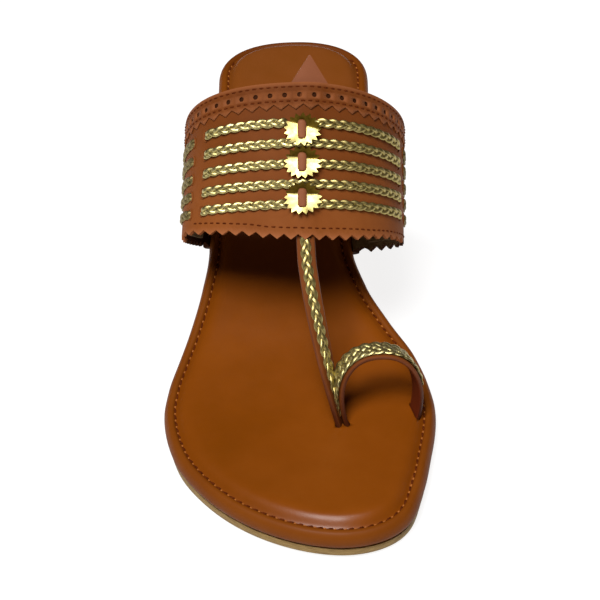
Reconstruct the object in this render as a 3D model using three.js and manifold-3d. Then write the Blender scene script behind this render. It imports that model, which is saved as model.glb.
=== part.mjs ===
// A right foot's heeled toe-loop sandal: a covered block heel, a thin outsole, a padded footbed, and an
// upper of one instep band, toe strap and toe loop, trimmed with gold plaits and pinked gold discs.
// Millimetres. +X is the big-toe side, -Y is the toe, +Z is up and Z = 0 is the floor.
import * as THREE from "three";
import { mergeVertices } from "three/addons/utils/BufferGeometryUtils.js";
import Module from "manifold-3d";

const wasm = await Module();
wasm.setup();

// Driving sizes
const LENGTH = 242; // heel back to toe tip, in plan
const GAP = 0.3; // clearance between neighbouring pieces
const WALL = 2.2; // instep band, leather and lining together
const STRAP = { width: 7, thick: 1.8, embed: 1.2, start: 0.94 };
const LOOP = { width: 7, thick: 1.6, centre: 27, half: 16.8, rise: 25, power: 2.35, yaw: 13 };
const PLAIT = { width: 3.8, loopWidth: 5, edge: 0.4, low: 0.7, crown: 1.6, step: 2.4 };
const PINKING = { pitch: 4.65, depth: 2.4 };
const TRIM = { width: 9.5, thick: 1, end: 0.95, pitch: 5.05 };
const TAB = { half: 7.1, length: 9.5, root: 6, tip: 0.4, thick: 1.2 };
const DISC = { across: 6.4, forward: 5.5, notch: 0.8, teeth: 16, thick: 0.8, low: 0.5, curl: 1.5, ride: 1.6 };
const KEEPER = { width: 2.8, length: 7, thick: 0.9, lift: 0.5 };
const HEEL_TIP_THICK = 4;
const TUCK = { depth: 10, thick: 2 }; // band margin folded in under the footbed
const SLOT_DEPTH = 2; // how far the strap ends go down into the footbed
const POST = { across: 15.9, width: 8, along: 186.8, length: 10.6, low: 7.7, high: 10.4 }; // joins strap and loop
const SLOT = { spare: 0.6, length: 11, loopWidth: 4.4 };

// Sole plan: distance from the heel's back, the centre line's place across, and the half width
const SOLE_PLAN = [
  { along: 0, centre: -1.2, half: 30.2 },
  { along: 26, centre: -0.4, half: 30.2 },
  { along: 60, centre: -1.6, half: 29.1 },
  { along: 82, centre: -2.6, half: 28.1 },
  { along: 107, centre: -6.2, half: 26.8 },
  { along: 125, centre: -5.1, half: 30.5 },
  { along: 140, centre: -3, half: 36.2 },
  { along: 155, centre: -0.9, half: 42.6 },
  { along: 168, centre: -0.5, half: 46.1 },
  { along: 178, centre: -0.2, half: 47.3 },
  { along: 200, centre: 0.9, half: 46.4 },
  { along: 217, centre: 4.4, half: 46 },
  { along: LENGTH, centre: 14.3, half: 49.8 },
];
const HEEL_ROUND = { reach: 24, power: 2.4 };
const TOE_ROUND = { from: 178, bow: 2.1, blunt: 1.9 };

// Side profile: height of the outsole's upper face, and the outsole's thickness below it
const PROFILE = [
  { along: 0, height: 47.8, thick: 2 },
  { along: 40, height: 42.8, thick: 2 },
  { along: 80, height: 33, thick: 2 },
  { along: 120, height: 17.6, thick: 2.5 },
  { along: 160, height: 5.6, thick: 3 },
  { along: 186, height: 3, thick: 3 },
  { along: 214, height: 3, thick: 3 },
  { along: LENGTH, height: 4, thick: 3 },
];

// Edge sections: inset from the sole's plan, with a share of the outsole's thickness or a rise above it
const OUTSOLE_EDGE = [
  { inset: 1.5, share: 0 },
  { inset: 0.9, share: 0.2 },
  { inset: 0.9, share: 0.9 },
  { inset: 1.2, share: 1 },
];
const FOOTBED_EDGE = [
  { inset: 1.6, rise: GAP },
  { inset: 0.4, rise: 1.3 },
  { inset: 0, rise: 3.2 },
  { inset: 0.5, rise: 5.3 },
  { inset: 1.6, rise: 6.7 },
  { inset: 2.8, rise: 7.1 },
  { inset: 4, rise: 6.7 },
  { inset: 6, rise: 7.5 },
  { inset: 12, rise: 8.1 },
];
const FOOTBED_RIM = 7.2; // rise of the rolled rim above the outsole

// Heel block: levels from its tip (0) to the outsole (1)
const HEEL_LEVELS = [
  { level: 0, back: 7.5, breast: 47, half: 20, centre: -1.5 },
  { level: 0.55, back: 5.6, breast: 51, half: 22.8, centre: -1.5 },
  { level: 1, back: 4.4, breast: 57, half: 24.4, centre: -1.5 },
];
const HEEL_BACK_ROUND = { reach: 24, power: 2.3 };
const HEEL_BREAST_ROUND = { reach: 4, power: 2 };

// Instep band: each edge is an arch in a plane that leans forward from its base on the sole
const BAND_REAR = {
  apex: 118,
  top: 104.2,
  half: 39.3,
  centre: 1,
  lateral: { base: 75, widest: 70, shoulder: 0.06 },
  medial: { base: 75, widest: 69, shoulder: 0 },
};
const BAND_FRONT = {
  apex: 151.6,
  top: 64.4,
  half: 39.5,
  centre: -0.5,
  lateral: { base: 106, widest: 52, shoulder: 0 },
  medial: { base: 110.5, widest: 39, shoulder: 0 },
};
const BAND_BASE_RISE = 4; // the band leaves the footbed's side this far above the outsole
const DISC_TURN = 0.034; // turn of the line of discs
const STRAP_TURN = 0.047; // where the toe strap leaves the band
const TAB_TURN = 0.072; // where the strip's pointed end stands

// Plaits on the band: rows by their reach from the rear edge, runs by their turn from the top
const PLAIT_ROWS = [0.265, 0.4, 0.535, 0.668, 0.8];
const PLAIT_RUNS = [
  { name: "front_lateral", from: -0.437, to: DISC_TURN - 0.048 },
  { name: "front_medial", from: DISC_TURN + 0.048, to: 0.52 },
  { name: "side_lateral", from: -0.88, to: -0.5 },
  { name: "side_medial", from: 0.575, to: 0.8 },
];
const STRAP_PLAIT = { from: 0.1, to: 0.8, count: 30 }; // shares of the strap's stations
const LOOP_PLAIT = { from: 0.3, to: 0.92, count: 30 };
const DISC_REACH = [0.315, 0.53, 0.765];

// Toe strap below the band: its outer face's middle, and the turn of that face towards the big toe
const STRAP_PATH = [
  { along: 157.5, across: 4.2, height: 57, turn: 0 },
  { along: 166, across: 5.8, height: 49, turn: 4 },
  { along: 174.8, across: 8.2, height: 38.9, turn: 14 },
  { along: 181.5, across: 10.8, height: 28, turn: 34 },
  { along: 186, across: 13.1, height: 18.4, turn: 58 },
  { along: 188.4, across: 15, height: 9.7, turn: 74 },
];
const LOOP_FOOT = 188; // where the loop's lateral foot stands along the sole
const LOOP_LEAN = 5.9; // how far the loop's top stands behind its feet
const LOOP_SKEW = 4; // how far the medial foot stands behind the lateral one
const LOOP_DRAW = { lateral: 5.2, medial: 4 }; // how far the feet are drawn in from the loop's widest place

const STATIONS = 30; // along the sole
const HEEL_STATIONS = 12;
const STRAP_STATIONS = 30;
const LOOP_STATIONS = 24;
const TUCK_STATIONS = 6;
const KEEPER_STATIONS = 6;
const WALL_ROWS = [0, 0.35, 0.7]; // reaches of the band's rows before its pinked edge

// Materials
const finish = (color, roughness, metalness = 0) =>
  new THREE.MeshStandardMaterial({ color, roughness, metalness });
const tanLeather = finish("#8a4516", 0.45);
const heelLeather = finish("#6f3d1e", 0.4);
const crepeRubber = finish("#b08d55", 0.75);
const goldPlait = finish("#b5a65a", 0.35, 0.6);
const goldFoil = finish("#d9c46a", 0.22, 0.9);

// Small helpers
const mix = (a, b, share) => a + (b - a) * share;
const at = (across, along, height) => new THREE.Vector3(across, LENGTH / 2 - along, height);
const steps = (count) => Array.from({ length: count + 1 }, (_, i) => i / count);

// A smooth curve through one column of a table, flat where neighbouring rows agree or turn back
function through(rows, column, key = "along") {
  const xs = rows.map((row) => row[key]);
  const ys = rows.map((row) => row[column]);
  const secants = xs.slice(1).map((x, i) => (ys[i + 1] - ys[i]) / (x - xs[i]));
  const slopes = xs.map((_, i) => {
    const before = secants[Math.max(i - 1, 0)];
    const after = secants[Math.min(i, secants.length - 1)];
    return before * after > 0 ? (2 * before * after) / (before + after) : 0;
  });
  return (x) => {
    const beyond = xs.findIndex((knot) => knot > x);
    const i = beyond < 0 ? xs.length - 2 : Math.max(beyond - 1, 0);
    const span = xs[i + 1] - xs[i];
    const s = (x - xs[i]) / span;
    const start = ys[i] * (1 + 2 * s) * (1 - s) ** 2 + slopes[i] * span * s * (1 - s) ** 2;
    return start + ys[i + 1] * s * s * (3 - 2 * s) + slopes[i + 1] * span * s * s * (s - 1);
  };
}

// Share of the full width at a distance from a rounded end
function rounded(distance, { reach, power }) {
  const s = Math.max(1 - distance / reach, 0);
  return (1 - s ** power) ** (1 / power);
}

// Sole surfaces
const soleCentre = through(SOLE_PLAN, "centre");
const soleHalf = through(SOLE_PLAN, "half");
const soleTop = through(PROFILE, "height");
const outsoleThick = through(PROFILE, "thick");
const soleUnder = (along) => soleTop(along) - outsoleThick(along);

function soleEdge(along, side) {
  const s = Math.max((along - TOE_ROUND.from) / (LENGTH - TOE_ROUND.from), 0);
  const toe = Math.max(1 - s ** TOE_ROUND.bow, 0) ** (1 / TOE_ROUND.blunt);
  return soleCentre(along) + side * soleHalf(along) * rounded(along, HEEL_ROUND) * toe;
}

// A closed plan from its stations: heel end, the lateral side, toe end, then the medial side back
function planOf(stations, edge) {
  const lateral = stations.map((along) => new THREE.Vector2(edge(along, -1), along));
  const medial = stations.slice(1, -1).reverse();
  return [...lateral, ...medial.map((along) => new THREE.Vector2(edge(along, 1), along))];
}

function insetPlan(plan, inset) {
  return plan.map((point, k) => {
    const before = plan[(k + plan.length - 1) % plan.length];
    const after = plan[(k + 1) % plan.length];
    const run = after.clone().sub(before).normalize();
    return new THREE.Vector2(point.x + run.y * inset, point.y - run.x * inset);
  });
}

// Stations that gather towards both ends
const gathered = (from, to, count) => steps(count).map((s) => mix(from, to, (1 - Math.cos(Math.PI * s)) / 2));
const solePlan = planOf(gathered(0, LENGTH, STATIONS), soleEdge);
const soleRing = (inset, height) => insetPlan(solePlan, inset).map((p) => at(p.x, p.y, height(p.y)));

// Geometry makers
function geometryOf(points, index) {
  const geometry = new THREE.BufferGeometry().setFromPoints(points);
  geometry.setIndex(index);
  return geometry;
}

const quad = (a, b, c, d) => [a, b, c, a, c, d];

// Rings of one plan, from the lowest up; the first and last are filled rung by rung
function stackOfRings(rings) {
  const count = rings[0].length;
  const index = [];
  for (let r = 0; r + 1 < rings.length; r++)
    for (let k = 0; k < count; k++) {
      const next = (k + 1) % count;
      const low = r * count;
      index.push(...quad(low + k, low + next, low + count + next, low + count + k));
    }
  const fill = (ring, facingUp) => {
    const base = ring * count;
    for (let i = 0; i < count / 2; i++) {
      const rung = [i, i + 1, count - i - 1, (count - i) % count].map((k) => base + k);
      const corners = rung.filter((k, j) => rung.indexOf(k) === j);
      if (!facingUp) corners.reverse();
      for (let c = 1; c + 1 < corners.length; c++) index.push(corners[0], corners[c], corners[c + 1]);
    }
  };
  fill(0, false);
  fill(rings.length - 1, true);
  return geometryOf(rings.flat(), index);
}

// A sheet between two grids of points; rows run to the right of the columns, seen from the outer grid
function slab(outer, inner) {
  const [columns, rows] = [outer.length, outer[0].length];
  const under = columns * rows;
  const id = (i, j) => i * rows + j;
  const index = [];
  for (let i = 0; i + 1 < columns; i++)
    for (let j = 0; j + 1 < rows; j++) {
      const corners = [id(i, j), id(i, j + 1), id(i + 1, j + 1), id(i + 1, j)];
      index.push(...quad(...corners), ...quad(...corners.map((k) => under + k).reverse()));
    }
  const border = (a, b) => index.push(...quad(a, b, under + b, under + a));
  for (let i = 0; i + 1 < columns; i++) {
    border(id(i, 0), id(i + 1, 0));
    border(id(i + 1, rows - 1), id(i, rows - 1));
  }
  for (let j = 0; j + 1 < rows; j++) {
    border(id(0, j + 1), id(0, j));
    border(id(columns - 1, j), id(columns - 1, j + 1));
  }
  return geometryOf([...outer.flat(), ...inner.flat()], index);
}

// A thin disc: a middle point and rings outwards on each face, facing along the upper points
function discOf(upperRings, lowerRings, upperMiddle, lowerMiddle) {
  const rings = [...lowerRings, ...[...upperRings].reverse()];
  const count = rings[0].length;
  const [low, high] = [rings.length * count, rings.length * count + 1];
  const index = [];
  for (let k = 0; k < count; k++) {
    const next = (k + 1) % count;
    const last = (rings.length - 1) * count;
    index.push(low, next, k, high, last + k, last + next);
    for (let r = 0; r + 1 < rings.length; r++) {
      const base = r * count;
      index.push(...quad(base + k, base + next, base + count + next, base + count + k));
    }
  }
  return geometryOf([...rings.flat(), lowerMiddle, upperMiddle], index);
}

function solidOf(geometry) {
  const merged = mergeVertices(geometry, 1e-4);
  const vertProperties = merged.getAttribute("position").array;
  return new wasm.Manifold(
    new wasm.Mesh({ numProp: 3, vertProperties, triVerts: new Uint32Array(merged.index.array) }),
  );
}

function geometryFrom(solid) {
  const mesh = solid.getMesh();
  const geometry = new THREE.BufferGeometry();
  geometry.setAttribute("position", new THREE.BufferAttribute(mesh.vertProperties, 3));
  geometry.setIndex(new THREE.BufferAttribute(mesh.triVerts, 1));
  return geometry;
}

function boxAt(across, along, height, size) {
  const box = new THREE.BoxGeometry(size.across, size.along, size.height);
  box.deleteAttribute("normal");
  box.deleteAttribute("uv");
  return box.translate(across, LENGTH / 2 - along, height);
}

// Instep band surface: turn runs from the lateral base (-1) over the top (0) to the medial base (1)
const baseAcross = (along, side) => soleEdge(along, side) + side * (GAP + WALL);
const baseHeight = (along) => soleTop(along) + BAND_BASE_RISE;

function archPoint(arch, turn) {
  const side = turn < 0 ? -1 : 1;
  const { base, widest, shoulder } = side < 0 ? arch.lateral : arch.medial;
  const low = baseHeight(base);
  const narrowing = Math.abs(baseAcross(base, side) - arch.centre) / arch.half;
  const full = Math.PI - Math.asin(narrowing);
  const angle = Math.abs(turn) * full;
  const upperHalf = angle < Math.PI / 2;
  const bulge = upperHalf ? 1 + shoulder * Math.sin(2 * angle) ** 2 : 1;
  const lower = (low - widest) / Math.cos(full);
  const height = widest + bulge * Math.cos(angle) * (upperHalf ? arch.top - widest : lower);
  const lean = (arch.apex - base) / (arch.top - low);
  const across = arch.centre + side * arch.half * bulge * Math.sin(angle);
  return at(across, base + (height - low) * lean, height);
}

const bandPoint = (turn, reach) => archPoint(BAND_REAR, turn).lerp(archPoint(BAND_FRONT, turn), reach);

function bandFrame(turn, reach) {
  const nudge = 1e-3;
  const forward = bandPoint(turn, reach + nudge).sub(bandPoint(turn, reach - nudge)).normalize();
  const rightwards = bandPoint(turn + nudge, reach).sub(bandPoint(turn - nudge, reach));
  const outward = forward.clone().cross(rightwards).normalize();
  const across = outward.clone().cross(forward).normalize();
  return { forward, across, outward };
}

const bandOffset = (turn, reach, lift) =>
  bandPoint(turn, reach).addScaledVector(bandFrame(turn, reach).outward, lift);
const bandDepth = (turn) => bandPoint(turn, 0).distanceTo(bandPoint(turn, 1));

// Turns that step evenly along the band at one reach
function evenTurns(from, to, reach, spacing) {
  const samples = steps(400).map((s) => mix(from, to, s));
  const lengths = [0];
  for (let i = 1; i < samples.length; i++) {
    const step = bandPoint(samples[i], reach).distanceTo(bandPoint(samples[i - 1], reach));
    lengths.push(lengths[i - 1] + step);
  }
  const total = lengths[lengths.length - 1];
  const count = 2 * Math.round(total / spacing / 2);
  return steps(count).map((s) => {
    const i = Math.max(lengths.findIndex((length) => length >= s * total), 1);
    const share = (s * total - lengths[i - 1]) / (lengths[i] - lengths[i - 1]);
    return mix(samples[i - 1], samples[i], share);
  });
}

// Sole pieces
const outsoleLevel = (share) => (along) => mix(soleUnder(along), soleTop(along), share);
const outsole = stackOfRings(OUTSOLE_EDGE.map(({ inset, share }) => soleRing(inset, outsoleLevel(share))));

function heelRing(row, height) {
  const edge = (along, side) => {
    const back = rounded(along - row.back, HEEL_BACK_ROUND);
    const breast = rounded(row.breast - along, HEEL_BREAST_ROUND);
    return row.centre + side * row.half * back * breast;
  };
  const stations = gathered(row.back, row.breast, HEEL_STATIONS);
  return planOf(stations, edge).map((p) => at(p.x, p.y, height(p.y)));
}

const heel = stackOfRings(
  HEEL_LEVELS.map((row) =>
    heelRing(row, (along) => mix(HEEL_TIP_THICK + GAP, soleUnder(along) - GAP, row.level)),
  ),
);
const heelTip = stackOfRings([0, HEEL_TIP_THICK].map((height) => heelRing(HEEL_LEVELS[0], () => height)));

// Upper: band wall, its margins folded under the footbed, the strip's pointed end, toe strap and toe loop
function bandWall() {
  const turns = evenTurns(-1, 1, 1, PINKING.pitch / 2);
  const column = (turn, c, lift) => {
    const valley = c % 2 ? 0 : PINKING.depth / bandDepth(turn);
    return [...WALL_ROWS, 1 - valley].map((reach) => bandOffset(turn, reach, lift));
  };
  const skirt = (points) => points.map((p) => p.clone().setZ(soleTop(LENGTH / 2 - p.y) + GAP));
  const face = (lift) => {
    const columns = turns.map((turn, c) => column(turn, c, lift));
    return [skirt(columns[0]), ...columns, skirt(columns[columns.length - 1])];
  };
  return slab(face(0), face(-WALL));
}

function tuck(side, clearance) {
  const [rear, front] = [BAND_REAR, BAND_FRONT].map((arch) => (side < 0 ? arch.lateral : arch.medial).base);
  const [from, to] = [rear - clearance, front - PINKING.depth + clearance];
  const face = (height) =>
    steps(TUCK_STATIONS).map((s) => {
      const along = mix(from, to, s);
      const outer = at(baseAcross(along, side), along, soleTop(along) + height);
      const inner = at(soleEdge(along, side) - side * (TUCK.depth + clearance), along, outer.z);
      return side < 0 ? [outer, inner] : [inner, outer];
    });
  const floor = clearance ? -1 : GAP;
  return slab(face(GAP + TUCK.thick + clearance).reverse(), face(floor).reverse());
}

function pointedTab() {
  const { forward, across, outward } = bandFrame(TAB_TURN, 0);
  const root = bandOffset(TAB_TURN, 0, -(WALL - TAB.thick) / 2);
  const sections = [
    { back: -TAB.root, half: TAB.half },
    { back: 0, half: TAB.half },
    { back: TAB.length, half: TAB.tip },
  ];
  const face = (lift) =>
    sections.map(({ back, half }) => {
      const middle = root.clone().addScaledVector(forward, -back).addScaledVector(outward, lift);
      return [-half, half].map((x) => middle.clone().addScaledVector(across, x));
    });
  return slab(face(0), face(-TAB.thick));
}

// Stations of a strip: the outer face's middle, its outward direction and the direction of its width
function strapStations() {
  const under = [STRAP.start, 1].map((reach) => ({
    middle: bandOffset(STRAP_TURN, reach, -STRAP.embed),
    turn: 0,
  }));
  const [across, height, turn] = ["across", "height", "turn"].map((column) => through(STRAP_PATH, column));
  const free = steps(STRAP_STATIONS).map((s) => {
    const along = mix(STRAP_PATH[0].along, STRAP_PATH[STRAP_PATH.length - 1].along, s);
    return { middle: at(across(along), along, height(along)), turn: turn(along) };
  });
  const line = [...under, ...free];
  return line.map(({ middle, turn }, i) => {
    const before = line[Math.max(i - 1, 0)].middle;
    const after = line[Math.min(i + 1, line.length - 1)].middle;
    const run = after.clone().sub(before).normalize();
    const width = new THREE.Vector3(1, 0, 0).addScaledVector(run, -run.x).normalize();
    width.applyAxisAngle(run, -THREE.MathUtils.degToRad(turn));
    return { middle, width, outward: run.cross(width) };
  });
}

function loopStations() {
  const foot = soleTop(LOOP_FOOT) + FOOTBED_RIM - SLOT_DEPTH;
  const place = (s) => {
    const angle = Math.PI * s;
    const round = (value) => Math.sign(value) * Math.abs(value) ** (2 / LOOP.power);
    const [x, z] = [-round(Math.cos(angle)), round(Math.sin(angle))];
    const drawn = (x < 0 ? LOOP_DRAW.lateral : -LOOP_DRAW.medial) * (1 - z) ** 2;
    const along = LOOP_FOOT - LOOP_LEAN * z - LOOP_SKEW * s;
    return at(LOOP.centre + LOOP.half * x + drawn, along, foot + (LOOP.rise + SLOT_DEPTH) * z);
  };
  const yaw = THREE.MathUtils.degToRad(LOOP.yaw);
  const ahead = new THREE.Vector3(Math.sin(yaw), -Math.cos(yaw), 0);
  return steps(LOOP_STATIONS).map((s) => {
    const middle = place(s);
    const run = place(Math.min(s + 0.01, 1)).sub(place(Math.max(s - 0.01, 0))).normalize();
    const outward = ahead.clone().cross(run).normalize();
    return { middle, width: outward.clone().cross(run).normalize(), outward };
  });
}

// Points across a strip's stations, at offsets along its width and lifts off its outer face
const acrossStrip = (stations, offsets) =>
  stations.map(({ middle, width, outward }, i) =>
    offsets(i).map(({ x, lift }) =>
      middle.clone().addScaledVector(width, x).addScaledVector(outward, lift),
    ),
  );

function flatStrip(stations, width, thick) {
  const face = (lift) => acrossStrip(stations, () => [width / 2, -width / 2].map((x) => ({ x, lift })));
  return slab(face(0), face(-thick));
}

function post(spare) {
  const size = {
    across: POST.width + 2 * spare,
    along: POST.length + 2 * spare,
    height: POST.high - POST.low + 2 * spare,
  };
  return solidOf(boxAt(POST.across, POST.along, (POST.high + POST.low) / 2, size));
}

const strap = strapStations();
const loop = loopStations();
const strapSolid = solidOf(flatStrip(strap, STRAP.width, STRAP.thick));
const loopSolid = solidOf(flatStrip(loop, LOOP.width, LOOP.thick));

const upper = solidOf(bandWall())
  .add(solidOf(tuck(-1, 0)))
  .add(solidOf(tuck(1, 0)))
  .add(solidOf(pointedTab()))
  .add(strapSolid)
  .add(loopSolid)
  .add(post(0));

// Footbed with recesses for the band's margins and slots for the ends of the strap and loop
function footbed() {
  const loopSlot = { across: SLOT.loopWidth, along: SLOT.length, height: 2 * (SLOT_DEPTH + SLOT.spare) };
  const loopEnd = loop[loop.length - 1];
  const loopSlotAcross = loopEnd.middle.x - LOOP.thick / 2;
  const loopSlotAlong = LENGTH / 2 - loopEnd.middle.y;
  const rings = FOOTBED_EDGE.map(({ inset, rise }) => soleRing(inset, (along) => soleTop(along) + rise));
  return solidOf(stackOfRings(rings))
    .subtract(solidOf(tuck(-1, GAP)))
    .subtract(solidOf(tuck(1, GAP)))
    .subtract(post(SLOT.spare).add(post(SLOT.spare).translate([0, 0, SLOT_DEPTH])))
    .subtract(solidOf(boxAt(loopSlotAcross, loopSlotAlong, soleTop(LOOP_FOOT) + FOOTBED_RIM, loopSlot)));
}

// Trim along the rear edge, with a pinked front
function rearTrim() {
  const share = TRIM.width / bandDepth(0);
  const turns = evenTurns(-TRIM.end, TRIM.end, share, TRIM.pitch / 2);
  const face = (lift) =>
    turns.map((turn, c) => {
      const valley = c % 2 ? 0 : PINKING.depth / bandDepth(turn);
      return [0, share - valley].map((reach) => bandOffset(turn, reach, lift));
    });
  return slab(face(GAP + TRIM.thick), face(GAP));
}

// Plaits: a crowned strip whose two lobes rise in turn
const plaitOffsets = (width) => (i) => {
  const [near, far] = i % 2 ? [PLAIT.crown, PLAIT.low] : [PLAIT.low, PLAIT.crown];
  return [
    { x: width / 2, lift: GAP + PLAIT.edge },
    { x: width / 4, lift: GAP + near },
    { x: -width / 4, lift: GAP + far },
    { x: -width / 2, lift: GAP + PLAIT.edge },
  ];
};

function plaitAlong(stations, width) {
  const base = (i) => plaitOffsets(width)(i).map(({ x }) => ({ x, lift: GAP }));
  return slab(acrossStrip(stations, plaitOffsets(width)), acrossStrip(stations, base));
}

function bandPlait(row, run) {
  const stations = evenTurns(run.from, run.to, row, PLAIT.step).map((turn) => {
    const { forward, outward } = bandFrame(turn, row);
    return { middle: bandPoint(turn, row), width: forward, outward };
  });
  return plaitAlong(stations, -PLAIT.width);
}

// More stations between those of a strip, and only from one share of it to another
function finerStations(stations, { from, to, count }) {
  return steps(count).map((s) => {
    const place = mix(from, to, s) * (stations.length - 1);
    const i = Math.min(Math.floor(place), stations.length - 2);
    const [middle, width, outward] = ["middle", "width", "outward"].map((key) =>
      stations[i][key].clone().lerp(stations[i + 1][key], place - i),
    );
    return { middle, width: width.normalize(), outward: outward.normalize() };
  });
}

// Pinked gold discs on the band's middle line, curled up before and behind, riding on the plaits' ends
function discLift(x, y) {
  const ride = Math.min((x / (0.6 * DISC.across)) ** 2, 1) * DISC.ride;
  return GAP + DISC.low + ride + DISC.curl * (y / DISC.forward) ** 2;
}

function discPoint(reach, x, y, lift) {
  const depth = bandDepth(DISC_TURN);
  const perTurn = bandPoint(DISC_TURN + 0.01, reach).distanceTo(bandPoint(DISC_TURN, reach)) / 0.01;
  return bandOffset(DISC_TURN + x / perTurn, reach + y / depth, discLift(x, y) + lift);
}

function goldDisc(reach) {
  const angles = steps(2 * DISC.teeth).slice(0, -1);
  const ring = (share, pinked, lift) =>
    angles.map((s, k) => {
      const radius = share * (pinked && k % 2 ? DISC.notch : 1);
      const angle = 2 * Math.PI * s;
      const [x, y] = [DISC.across * radius * Math.cos(angle), DISC.forward * radius * Math.sin(angle)];
      return discPoint(reach, x, -y, lift);
    });
  const rings = (lift) => [ring(0.45, false, lift), ring(1, true, lift)];
  return discOf(
    rings(DISC.thick),
    rings(0),
    discPoint(reach, 0, 0, DISC.thick),
    discPoint(reach, 0, 0, 0),
  );
}

// The strip's short bridge over the middle of each disc
function keeper(reach) {
  const face = (lift) =>
    steps(KEEPER_STATIONS).map((s) => {
      const y = mix(-0.5, 0.5, s) * KEEPER.length;
      const sides = [KEEPER.width / 2, -KEEPER.width / 2];
      return sides.map((x) => discPoint(reach, x, y, DISC.thick + KEEPER.lift + lift));
    });
  return slab(face(KEEPER.thick), face(0));
}

// Assembly
const sandal = new THREE.Group();

function addPiece(name, geometry, material) {
  const mesh = new THREE.Mesh(geometry, material);
  mesh.name = name;
  sandal.add(mesh);
}

addPiece("outsole", outsole, crepeRubber);
addPiece("footbed", geometryFrom(footbed()), tanLeather);
addPiece("heel_block", heel, heelLeather);
addPiece("heel_tip", heelTip, crepeRubber);
addPiece("upper", geometryFrom(upper), tanLeather);
addPiece("rear_trim", rearTrim(), tanLeather);
PLAIT_RUNS.forEach((run) =>
  PLAIT_ROWS.forEach((row, i) => addPiece(`plait_${run.name}_${i + 1}`, bandPlait(row, run), goldPlait)),
);
addPiece("plait_toe_strap", plaitAlong(finerStations(strap, STRAP_PLAIT), PLAIT.width), goldPlait);
addPiece("plait_toe_loop", plaitAlong(finerStations(loop, LOOP_PLAIT), PLAIT.loopWidth), goldPlait);
DISC_REACH.forEach((reach, i) => {
  addPiece(`gold_disc_${i + 1}`, goldDisc(reach), goldFoil);
  addPiece(`disc_keeper_${i + 1}`, keeper(reach), tanLeather);
});

export default sandal;
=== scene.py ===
"""Looks for a right foot's heeled toe-loop sandal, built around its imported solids.

Shapes are worked out in millimetres in the row frame (+X big-toe side, -Y toe, +Z up) and become
metres when a mesh is made. "along" is the plan distance from the heel's back. On the instep band,
"turn" goes round its arch from -1 on the little-toe side to 1, and "reach" from its rear edge, 0,
to its front edge, 1.
"""
import math

import bpy
import numpy as np
from mathutils import Matrix, Vector


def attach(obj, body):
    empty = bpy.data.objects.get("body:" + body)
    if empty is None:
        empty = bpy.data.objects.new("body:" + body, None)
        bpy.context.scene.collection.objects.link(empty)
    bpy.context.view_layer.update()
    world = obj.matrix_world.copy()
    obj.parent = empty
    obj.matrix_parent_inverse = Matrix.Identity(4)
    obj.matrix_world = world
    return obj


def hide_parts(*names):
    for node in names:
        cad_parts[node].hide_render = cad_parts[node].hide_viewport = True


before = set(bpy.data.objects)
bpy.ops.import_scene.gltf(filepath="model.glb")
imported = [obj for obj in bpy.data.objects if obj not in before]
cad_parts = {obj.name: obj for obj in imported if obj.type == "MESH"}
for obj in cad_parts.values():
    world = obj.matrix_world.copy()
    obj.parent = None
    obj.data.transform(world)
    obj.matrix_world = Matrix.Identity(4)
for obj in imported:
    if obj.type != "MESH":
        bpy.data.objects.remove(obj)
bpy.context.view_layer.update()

MM = 0.001


class Sizes(dict):
    """Named sizes, read as attributes."""

    __getattr__ = dict.__getitem__


def table(columns, *rows):
    """Rows of sizes under named columns."""
    return [Sizes(zip(columns.split(), row)) for row in rows]


# Sole and heel: sizes here and below are as the solids have them, but for a few eased ones
LENGTH = 242.0
GAP = 0.3
SOLE_PLAN = table(
    "along centre half",
    (0, -1.2, 30.2),
    (26, -0.4, 30.2),
    (60, -1.6, 29.1),
    (82, -2.6, 28.1),
    (107, -6.2, 26.8),
    (125, -5.1, 30.5),
    (140, -3, 36.2),
    (155, -0.9, 42.6),
    (168, -0.5, 46.1),
    (178, -0.2, 47.3),
    (200, 0.9, 46.4),
    (217, 4.4, 46),
    (LENGTH, 14.3, 49.8),
)
SOLE_STATIONS = 150
HEEL_ROUND = Sizes(reach=24, power=2.25)
TOE_ROUND = Sizes(start=178, bow=2.1, blunt=1.9)
PROFILE = table(
    "along height thick",
    (0, 47.8, 2),
    (40, 42.8, 2),
    (80, 33, 2),
    (120, 17.6, 2.5),
    (160, 5.6, 3),
    (186, 3, 3),
    (214, 3, 3),
    (LENGTH, 4, 3),
)
OUTSOLE_EDGE = table(
    "inset share", (1.6, 0.0), (1.0, 0.12), (0.9, 0.3), (0.9, 0.8), (1.05, 0.95), (1.3, 1.0)
)
HEEL_LEVELS = table(
    "level back breast half centre",
    (0, 7.5, 47, 20, -1.5),
    (0.55, 5.6, 51, 22.8, -1.5),
    (1, 4.4, 57, 24.4, -1.5),
)
HEEL_BACK_ROUND = Sizes(reach=24, power=2.3)
HEEL_BREAST_ROUND = Sizes(reach=4, power=2)
HEEL_MESH = Sizes(levels=15, stations=44)
HEEL_SEAT = 0.1
HEEL_TIP_THICK = 4.0
HEEL_TIP_EDGE = table(
    "inset height", (0.9, 0.0), (0.2, 0.5), (0.0, 1.2), (0.0, 3.3), (0.3, 3.8), (0.8, HEEL_TIP_THICK)
)

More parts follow.
